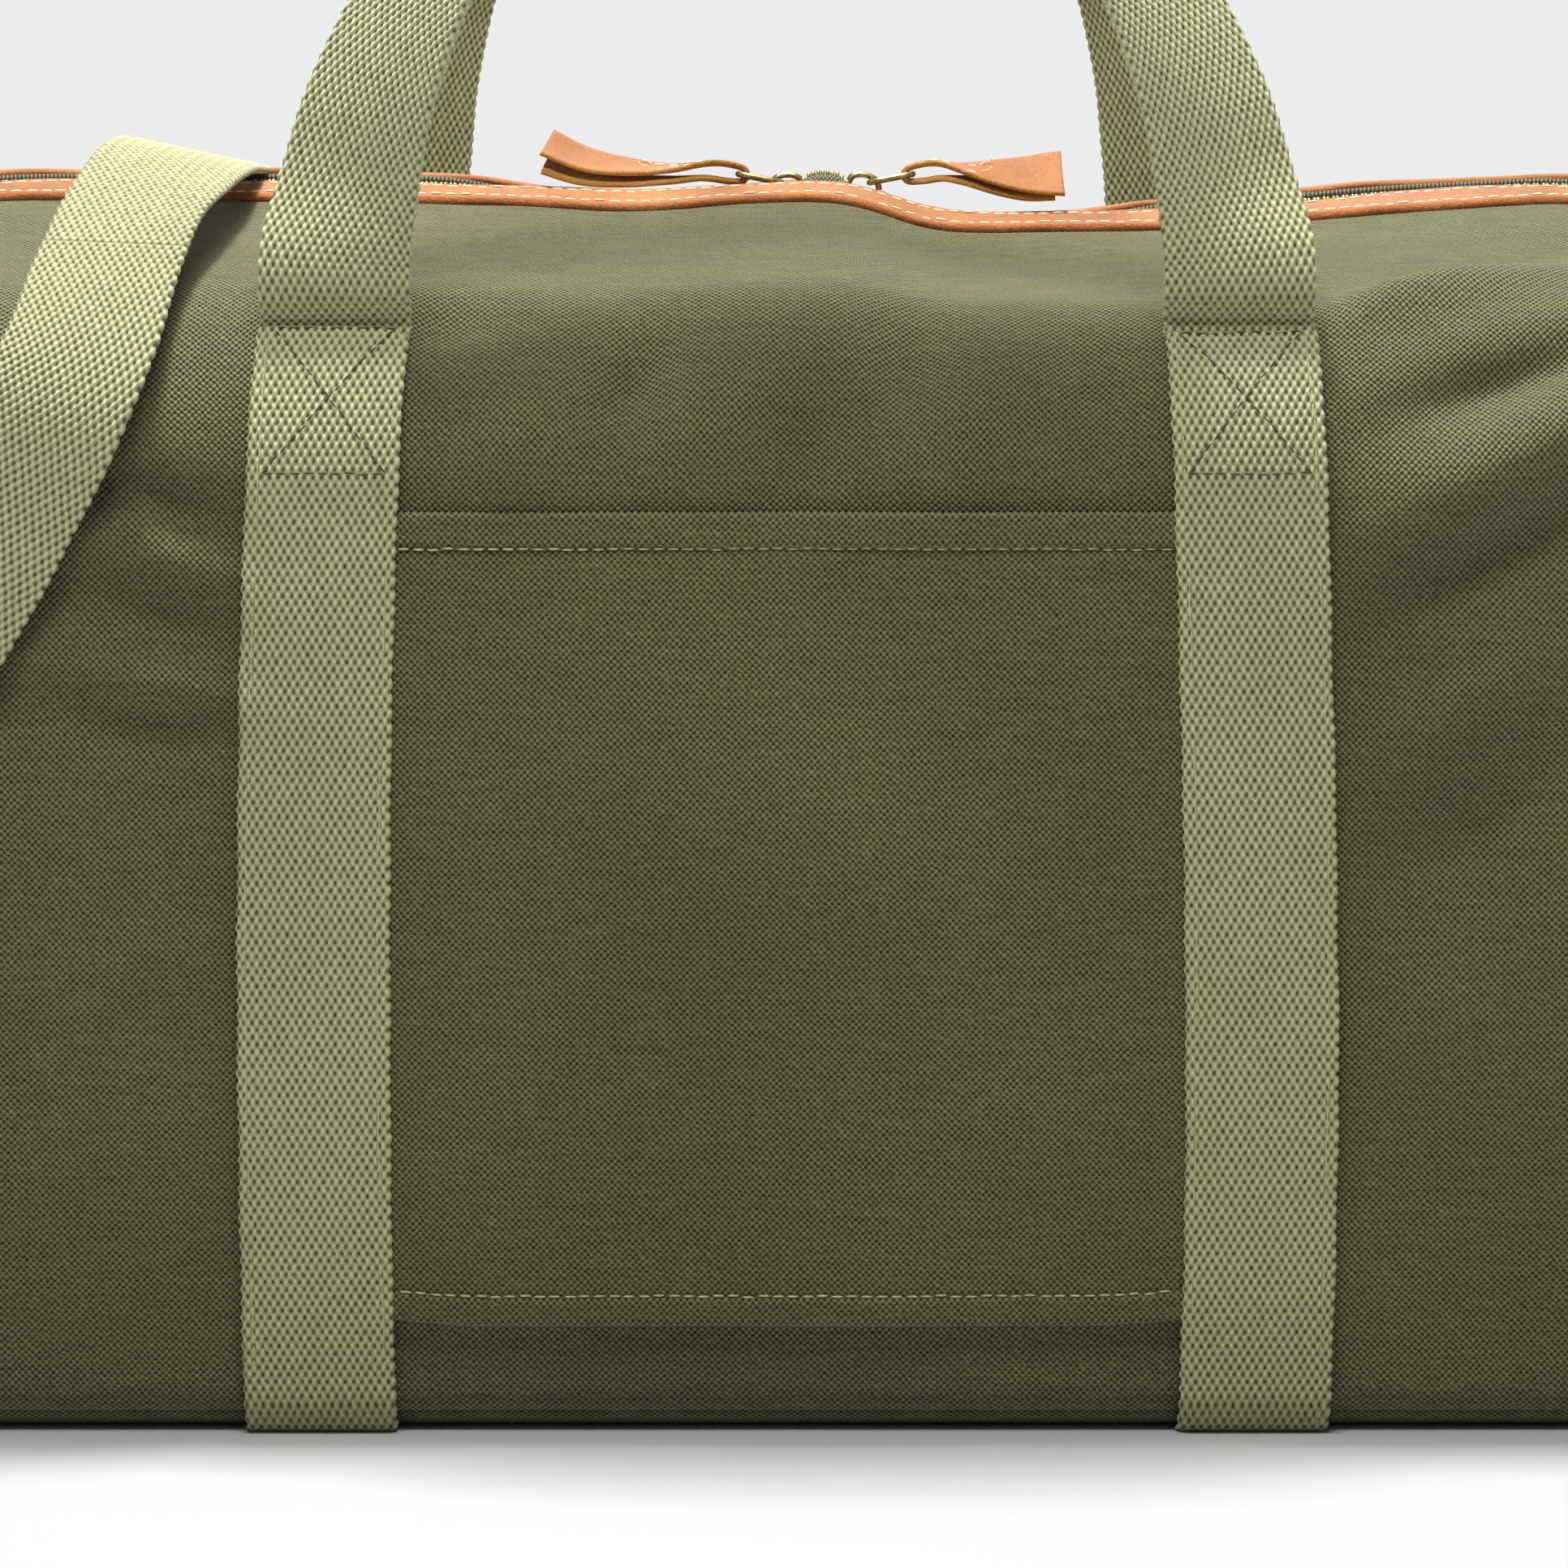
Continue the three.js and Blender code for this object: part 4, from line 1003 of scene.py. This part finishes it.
def build_strap():
    line = resample(spline(build_route(), 40), 8 * STRAP_STEPS + 1)
    place, length = along_path(line[:, :3], unit(line[:, 3:]))
    step = length / STRAP_STEPS
    glide = (STRAP_STEPS - RETURN_STEPS) * step
    front = 0.36 * length
    cuts = {
        "left_end": (0, 0.085 * length, 0.62 * MM),
        "front": (0.085 * length, front, 0.62 * MM),
        "rear": (front, 0.68 * length, 0.8 * MM),
        "right": (0.68 * length, 0.945 * length, 0.8 * MM),
        "right_end": (0.945 * length, length, 0.7 * MM),
    }
    made = {}
    for name, (low, high, cell) in cuts.items():
        def part(u, v, h, low=low):
            return place(u, v + low, h)
        strip = woven(f"strap_{name}", part, high - low, cell, low)
        made[name] = strip
    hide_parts("shoulder_strap")
    for name in ("front", "rear", "right"):
        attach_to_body(made[name], "bag")
    swing_end(made["left_end"])
    swing_end(made["right_end"])
    lift = WEB_THICK + 4 * GAP
    start, stop = glide + 2 * step, length - 2 * step

    def doubled(u, v, h):
        return place(u, v + start, h + lift)

    back = woven("strap_doubled", doubled, stop - start, 0.7 * MM, start)
    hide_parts("strap_return")
    swing_end(back)
    sew_strap(place, length)


def swing_end(strip):
    """Bakes a strap end's placement into its mesh."""
    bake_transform(strip)


def sew_strap(place, length):
    """Stitches across the strap's ends, where each is folded round its eye."""
    for name, low, sign in (("left", 9 * MM, 1), ("right", length - 9 * MM, -1)):
        rows = []
        for offset in (0, 5 * MM, 10 * MM):
            u = np.linspace(-WEB_WIDTH / 2 + 3 * MM, WEB_WIDTH / 2 - 3 * MM, 30)[None, :]
            v = np.full((1, 1), low + sign * offset)
            line = place(u, v, np.full((1, 1), WEB_THICK / 2 + 0.2 * MM))[0]
            rows += stitch_row(line, 3 * MM, 0.5 * MM, 0.24 * MM)
        sew(f"strap_stitches_{name}", rows, DARK_THREAD, "webbing", f"ring_{name}")


# ---- zip

ZIP_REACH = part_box("zip_teeth_front")[1].x
TOOTH_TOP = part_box("zip_teeth_front")[1].z
TOOTH_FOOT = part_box("zip_teeth_front")[0].z
TOOTH_PITCH = 2.6 * MM
FACING_WIDTH = 17 * MM
FACING_THICK = 1.8 * MM
FACING_LIFT = GAP + FACING_THICK
FACING_EDGE = SKIRT - 6.5 * MM / math.cos(ROOF_SLOPE)


def show_edges(obj, rows, columns, lower):
    """Gives a shell's inner side, its rim and its lowest rows the second material."""
    index = np.ones(len(obj.data.polygons), np.int32)
    index[lower * (columns - 1):(rows - 1) * (columns - 1)] = 0
    obj.data.polygons.foreach_set("material_index", index)
    obj.data.update()


def build_facings():
    xs = steps(-ZIP_REACH, ZIP_REACH, 1.6 * MM)
    for name, side in SIDES.items():
        def roll(x, s):
            near = np.minimum(FACING_EDGE - s, s - (FACING_EDGE - FACING_WIDTH))
            edge = np.clip(1 - near / (1.6 * MM), 0, 1)
            seam = np.exp(-(((FACING_EDGE - s - 3.2 * MM) / (0.9 * MM)) ** 2))
            waves = 0.35 * MM * np.sin(x * 85 + side) * smoothstep(s, FACING_EDGE - 10 * MM, FACING_EDGE)
            rolled = 1.1 * MM * edge ** 2 + 0.25 * MM * seam
            return s, waves - rolled + 0.2 * MM * np.sin(x * 210) * edge
        ss = steps(FACING_EDGE - FACING_WIDTH, FACING_EDGE, 0.55 * MM)
        finishes = [TAN, RAW_EDGE]
        strip = panel(f"facing_{name}", side, xs, ss, FACING_LIFT, FACING_THICK, finishes, roll)
        show_edges(strip, len(ss), len(xs), 2)
        attach(strip, "bag", "leather", f"leather_facing_{name}")
        rows = []
        for inset in (3.2 * MM, FACING_WIDTH - 2.6 * MM):
            x = np.linspace(-ZIP_REACH + 3 * MM, ZIP_REACH - 3 * MM, 900)
            s = np.full_like(x, FACING_EDGE - inset)
            line = face(x, s, side, FACING_LIFT + 0.04 * MM + roll(x, s)[1])
            rows += stitch_row(line, 3.0 * MM, 1.0 * MM, 0.28 * MM)
        sew(f"facing_stitches_{name}", rows, CREAM_THREAD, "leather")


def build_tapes():
    xs = steps(-ZIP_REACH, ZIP_REACH, 2 * MM)
    bead = SKIRT - 3.7 * MM / math.cos(ROOF_SLOPE)
    ss = steps(bead - 18 * MM, bead, 0.8 * MM)

    def bead_roll(x, s):
        roll = 0.5 * MM * np.exp(-(((bead - s - 0.7 * MM) / (0.8 * MM)) ** 2))
        return s, roll + chain_rise(x) * smoothstep(s, bead - 5 * MM, bead)

    for name, side in SIDES.items():
        strip = panel(f"tape_{name}", side, xs, ss, -CANVAS - GAP, 0.7 * MM, TAPE, bead_roll)
        attach(strip, "bag", "zip_tape", f"zip_tape_{name}")


def rounded_block(low, high, bevel):
    """Points and faces of a block whose edges are cut back."""
    (x0, y0, z0), (x1, y1, z1) = low, high
    ring = [
        (x0 + bevel, z0), (x1 - bevel, z0), (x1, z0 + bevel), (x1, z1 - bevel),
        (x1 - bevel, z1), (x0 + bevel, z1), (x0, z1 - bevel), (x0, z0 + bevel),
    ]
    points, quads = [], []
    for y, shrink in ((y0, 0.75), (y0 + bevel, 1), (y1 - bevel, 1), (y1, 0.75)):
        cx, cz = (x0 + x1) / 2, (z0 + z1) / 2
        points += [(cx + (x - cx) * shrink, y, cz + (z - cz) * shrink) for x, z in ring]
    for row in range(3):
        for k in range(8):
            a, b = row * 8 + k, row * 8 + (k + 1) % 8
            quads.append((a, b, b + 8, a + 8))
    for a in (range(8), range(31, 23, -1)):
        quads += [(a[3], a[2], a[1], a[0]), (a[4], a[3], a[0], a[7]), (a[4], a[7], a[6], a[5])]
    return np.array(points, float), [np.array(quads)]


def build_teeth():
    half, inner, outer = 0.56 * MM, 0.15 * MM, 3.1 * MM
    for name, side in SIDES.items():
        teeth = []
        shift = 0 if side == FRONT else TOOTH_PITCH / 2
        y0, y1 = sorted((-side * inner, side * outer))
        for i in range(int(2 * ZIP_REACH / TOOTH_PITCH)):
            x = -ZIP_REACH + (i + 0.5) * TOOTH_PITCH + shift * 0.98
            if x > ZIP_REACH - 1 * MM:
                continue
            points, quads = rounded_block((x - half, y0, TOOTH_FOOT), (x + half, y1, TOOTH_TOP), 0.3 * MM)
            points[:, 2] += chain_rise(x) - zip_dip(x)
            teeth.append((points, quads))
        attach(gather(f"teeth_{name}", teeth, BRASS), "bag", "brass", f"zip_teeth_{name}")


def ridge_fall(y):
    """How far an end tab falls away either side of the rounded ridge."""
    bend = np.sqrt(y ** 2 + (2.5 * MM) ** 2) - 2.5 * MM
    return bend * math.tan(ROOF_SLOPE)


def build_end_tabs():
    for name, end in HANDS.items():
        low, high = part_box(f"zip_end_tab_{name}")
        x, y = np.meshgrid(steps(low.x, high.x, 0.8 * MM), steps(low.y, high.y, 0.8 * MM))
        ridge = high.z - 0.5 * MM
        edge = np.minimum(np.minimum(x - low.x, high.x - x), np.minimum(y - low.y, high.y - y))
        rounding = 0.7 * MM * np.clip(1 - edge / (1.2 * MM), 0, 1) ** 2
        z = ridge - ridge_fall(y) - zip_dip(end * ZIP_REACH) - rounding
        outer = np.stack([x, y, z], -1)
        inner = np.stack([x, y, z - 1.5 * MM + 1.6 * rounding], -1)
        tab = shell(f"end_tab_{name}", outer, inner, TAN, np.stack([x, y], -1))
        attach(tab, "bag", "leather", f"zip_end_tab_{name}")
        rows = []
        for sy in (-1, 1):
            xa = np.linspace(low.x + 2 * MM, high.x - 2 * MM, 20)
            ya = np.full_like(xa, sy * (high.y - 2.2 * MM))
            za = ridge - ridge_fall(ya) + 0.05 * MM
            rows += stitch_row(np.stack([xa, ya, za], -1), 2.6 * MM, 0.8 * MM, 0.26 * MM)
        sew(f"tab_stitches_{name}", rows, CREAM_THREAD, "leather")


# ---- sliders, links and pulls


def soften(obj, width, segments):
    """Rounds an object's edges in place and smooths its flats."""
    bevel = obj.modifiers.new("bevel", "BEVEL")
    bevel.width = width
    bevel.segments = segments
    bevel.limit_method = "ANGLE"
    bevel.angle_limit = math.radians(32)
    graph = bpy.context.evaluated_depsgraph_get()
    mesh = bpy.data.meshes.new_from_object(obj.evaluated_get(graph))
    obj.modifiers.clear()
    obj.data = mesh
    mesh.polygons.foreach_set("use_smooth", np.full(len(mesh.polygons), True))
    mesh.set_sharp_from_angle(angle=math.radians(38))


def refine(node, name, part_of, width, segments=3):
    """Shows a CAD node as a finer copy: its flats are made whole, then its edges are rounded."""
    mesh = frame["nodes"][node].data.copy()
    body = bmesh.new()
    body.from_mesh(mesh)
    bmesh.ops.remove_doubles(body, verts=body.verts, dist=1e-6)
    bmesh.ops.dissolve_limit(body, angle_limit=math.radians(2), verts=body.verts, edges=body.edges)
    body.to_mesh(mesh)
    body.free()
    obj = bpy.data.objects.new(name, mesh)
    scene.collection.objects.link(obj)
    obj.data.materials.clear()
    obj.data.materials.append(BRASS)
    soften(obj, width, segments)
    attach(obj, part_of, "brass", node)


SLIDER_PLATE = 1.4 * MM
SLIDER_ARCH = [
    (-4.3, 0.2), (-4.1, 1.6), (-3.2, 3.2), (-1.4, 3.9), (1.2, 3.8), (3.0, 3.0), (3.9, 1.4), (4.1, 0.2),
]
ARCH_WIDENING = 2.3


def slider_outline(length, half, neck):
    """A zip slider's plan: broad shoulders in front, narrow at the back."""
    t = np.linspace(0, 1, 14)
    x = -length / 2 + length * t
    y = neck + (half - neck) * smoothstep(t, 0.15, 0.8) - 1.2 * MM * smoothstep(t, 0.85, 1.0)
    return x, y


def build_slider(name, end):
    low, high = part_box(f"zip_slider_{name}")
    middle = (low.x + high.x) / 2
    length, half = high.x - low.x, high.y
    x, y = slider_outline(length, half, half * 0.72)
    parts = []
    crown_low = TOOTH_TOP + GAP
    for z0, z1 in ((crown_low, crown_low + SLIDER_PLATE), (low.z, low.z + SLIDER_PLATE)):
        rings = []
        for z, shrink in ((z0, 0.9), (z0 + 0.3 * MM, 1), (z1 - 0.4 * MM, 1), (z1, 0.86)):
            loop = np.concatenate([np.stack([x, y], -1), np.stack([x[::-1], -y[::-1]], -1)]) * shrink
            rings.append(np.concatenate([loop, np.full((len(loop), 1), z)], 1))
        parts.append(lofted(rings))
    for side in (-1, 1):
        foot = np.full(len(x) - 2, crown_low - 0.4 * MM)
        parts.append(tube(np.stack([x[1:-1], side * (y[1:-1] - 0.5 * MM), foot], -1), 0.55 * MM, 6))
    arch = [(px * MM, 0, crown_low + SLIDER_PLATE + pz * MM) for px, pz in SLIDER_ARCH]
    arch_points, arch_faces = tube(resample(spline(arch, 6), 36), 0.85 * MM, 10, up=(0, 1, 0))
    arch_points[:, 1] *= ARCH_WIDENING
    parts.append((arch_points, arch_faces))
    slope = 0.1 if name == "right" else 0.02
    for points, _ in parts:
        points[:, 0] = middle + points[:, 0] * end
        points[:, 2] -= 0.2 * MM + slope * (points[:, 0] - middle)
    if end < 0:
        parts = [(points, [group[:, ::-1] for group in faces]) for points, faces in parts]
    slider = gather(f"slider_body_{name}", parts, BRASS)
    attach(slider, f"slider_{name}", "brass", f"zip_slider_{name}")


LINK_WIRE = 1.6 * MM
LINK_REACH = 12 * MM
LINK_HALF = 4.8 * MM
LINK_TILT = math.radians(11)


def local_frame(joint_name, end):
    """Placement of a link or pull: its own -X runs out along the zip from its pivot."""
    pivot = Vector(JOINTS[joint_name]["pos_m"])
    turn = Matrix.Rotation(0 if end < 0 else math.pi, 4, "Z") @ Matrix.Rotation(LINK_TILT, 4, "Y")
    return Matrix.Translation(pivot) @ turn


def placed(points, matrix):
    table = np.array(matrix)
    return points @ table[:3, :3].T + table[:3, 3]


def build_link(name, end):
    corner = 3.0 * MM
    near, far, half = -corner, -LINK_REACH + corner, LINK_HALF - corner
    loop = []
    for k, (x, y) in enumerate([(near, -half), (near, half), (far, half), (far, -half)]):
        for angle in np.radians(np.linspace(-90 + 90 * k, 90 * k, 8)):
            loop.append((x + corner * math.cos(angle), y + corner * math.sin(angle), 0))
    points, faces = tube(np.array(loop), LINK_WIRE / 2, 10, True, up=(0, 0, 1))
    matrix = local_frame(f"link_{name}_swing", end)
    link = gather(f"link_{name}_ring", [(placed(points, matrix), faces)], BRASS)
    attach(link, f"link_{name}", "brass", f"pull_link_{name}")


# The fold of each leather pull: x outwards, z, half width in millimetres, and lean in degrees.
PULL_TURN = [
    (-2.5, -2.2, 3.6, 0), (1.6, -1.4, 3.5, 0), (2.3, 0, 3.5, 0), (1.6, 1.4, 3.5, 0), (-2.5, 2.0, 3.6, 0),
]
PULL_FOLDS = {
    "left": [
        (-52, -6.6, 10, 14), (-42, -7.8, 9.2, 14), (-30, -7.0, 7.2, 12), (-18, -4.8, 5, 8),
        (-8, -2.5, 3.8, 0), *PULL_TURN, (-8, 1.3, 3.8, 0), (-18, -2.2, 5, 10),
        (-30, -4.4, 7.4, 17), (-42, -4.8, 9.2, 20), (-53, -2.4, 10, 22),
    ],
    "right": [
        (-37, -10.4, 9.0, 19), (-29, -9.2, 8.4, 19), (-21, -6.8, 7.0, 16), (-13, -3.8, 5.2, 10),
        (-7, -2.4, 3.9, 0), *PULL_TURN, (-7, 1.5, 3.9, 0), (-13, -1.2, 5.4, 12),
        (-21, -4.2, 7.8, 24), (-31, -7.0, 10, 30), (-40, -8.6, 11.4, 32),
    ],
}


def build_pull(name, end):
    fold = np.array(PULL_FOLDS[name]) * (MM, MM, MM, 1)
    line = resample(spline(np.insert(fold, 1, 0, axis=1), 10), 130)
    path, lean = line[:, :3], np.radians(line[:, 4])
    tangents = unit(np.gradient(path, axis=0))
    across = np.stack([np.zeros(len(path)), np.cos(lean), np.sin(lean) * -end], -1)
    across = unit(across - tangents * np.einsum("ij,ij->i", across, tangents)[:, None])
    outward = np.cross(across, tangents)
    u = np.linspace(-1, 1, 15)[None, :, None]
    curl = 0.10 * line[:, 3][:, None, None] * u ** 2
    body = path[:, None] + across[:, None] * u * line[:, 3][:, None, None]
    edge = np.clip((np.abs(u) - 0.86) / 0.14, 0, 1)
    half = 0.75 * MM * np.sqrt(1 - 0.6 * edge ** 2)
    outer = body + outward[:, None] * (half + curl)
    inner = body - outward[:, None] * (half - curl)
    matrix = local_frame(f"pull_{name}_swing", end)
    finishes = [TAN if name == "left" else BROWN, SUEDE]
    rows, columns = outer.shape[:2]
    uv = np.stack(np.meshgrid(np.linspace(0, 0.02, columns), np.linspace(0, 0.1, rows)), -1)
    hide = shell(f"pull_{name}_leather", placed(outer, matrix), placed(inner, matrix), finishes, uv)
    show_edges(hide, rows, columns, 0)
    attach(hide, f"pull_{name}", "leather", f"leather_pull_{name}")
    sew_pull(name, path, across, outward, line, matrix)


def sew_pull(name, path, across, outward, line, matrix):
    """A short row of cream stitches each side of the neck, with loose ends."""
    rows = []
    top = np.arange(74, 96)
    for side in (-0.55, 0.55):
        points = path[top] + across[top] * (line[top, 3] * side)[:, None] + outward[top] * 0.85 * MM
        rows += stitch_row(placed(points, matrix), 2.6 * MM, 0.9 * MM, 0.3 * MM)
        loose = [(0, 0, 0), (-1.2, 0.8 * side, 0.8), (-2.6, 1.8 * side, 0.7), (-3.6, 1.4 * side, 1.5)]
        tail = spline(points[-1] + np.array(loose) * MM, 5)
        rows.append(tube(placed(resample(tail, 14), matrix), 0.14 * MM, 5))
    sew(f"pull_stitches_{name}", rows, CREAM_THREAD, "leather", f"pull_{name}")


# ---- rings, hooks and adjuster

BAR_X, _, BAR_Z = JOINTS["ring_right_swing"]["pos_m"]


def build_ring_tabs():
    for name, end in HANDS.items():
        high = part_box(f"ring_tab_{name}")[1]
        wall = HALF_LENGTH + GAP + WEB_THICK / 2
        outer = wall + WEB_THICK + GAP
        radius = BAR_X - wall
        top = high.z - 0.3 * MM
        knots = [(wall, top), (wall, (top + BAR_Z) / 2), (wall, BAR_Z + 1 * MM)]
        for angle in np.radians(range(180, 391, 30)):
            knots.append((BAR_X + radius * math.cos(angle), BAR_Z + radius * math.sin(angle)))
        knots += [(outer + 2.5 * MM, BAR_Z + 8 * MM), (outer, BAR_Z + 13 * MM)]
        knots += [(outer, top - 5 * MM), (outer, top)]
        line = resample(spline([(end * x, 0, z) for x, z in knots], 10), 160)
        normals = unit(np.cross(np.array([0, 1.0, 0]), np.gradient(line, axis=0)) * end)
        place, length = along_path(line, normals)
        strip = woven(f"tab_{name}", place, length, 0.6 * MM)
        attach(strip, "bag", "webbing", f"ring_tab_{name}")
        y = np.linspace(-WEB_WIDTH / 2 + 3 * MM, WEB_WIDTH / 2 - 3 * MM, 30)
        x = np.full_like(y, end * (outer + WEB_THICK / 2 + 0.2 * MM))
        rows = []
        for z in (top - 3 * MM, top - 11 * MM):
            rows += stitch_row(np.stack([x, y, np.full_like(y, z)], -1), 3 * MM, 0.5 * MM, 0.26 * MM)
        sew(f"tab_sewing_{name}", rows, DARK_THREAD, "webbing")


def build_hardware():
    pieces = {
        "d_ring": ("ring", 1.9 * MM, 4),
        "snap_hook": ("hook", 0.9 * MM, 3),
        "hook_gate": ("gate", 0.45 * MM, 2),
        "swivel_eye": ("ring", 0.8 * MM, 3),
    }
    for name in HANDS:
        for kind, (part_of, width, segments) in pieces.items():
            refine(f"{kind}_{name}", f"{kind}_{name}_brass", f"{part_of}_{name}", width, segments)
    refine("strap_adjuster", "adjuster_brass", "adjuster", 0.7 * MM)


# ---- floor


FLOOR_REACH = 12.0


def build_floor():
    corners = np.array([(-1, -1, 0), (1, -1, 0), (1, 1, 0), (-1, 1, 0)]) * FLOOR_REACH
    floor = make_object("floor", corners, [np.array([[0, 1, 2, 3]])], floor_material())
    floor.location.z = -0.05 * MM


build_canvas()
build_ends()
build_pocket()
build_sewn_webbing()
build_handles()
build_strap()
build_facings()
build_tapes()
build_teeth()
build_end_tabs()
for hand, way in HANDS.items():
    build_slider(hand, way)
    build_link(hand, way)
    build_pull(hand, way)
build_ring_tabs()
build_hardware()
build_floor()
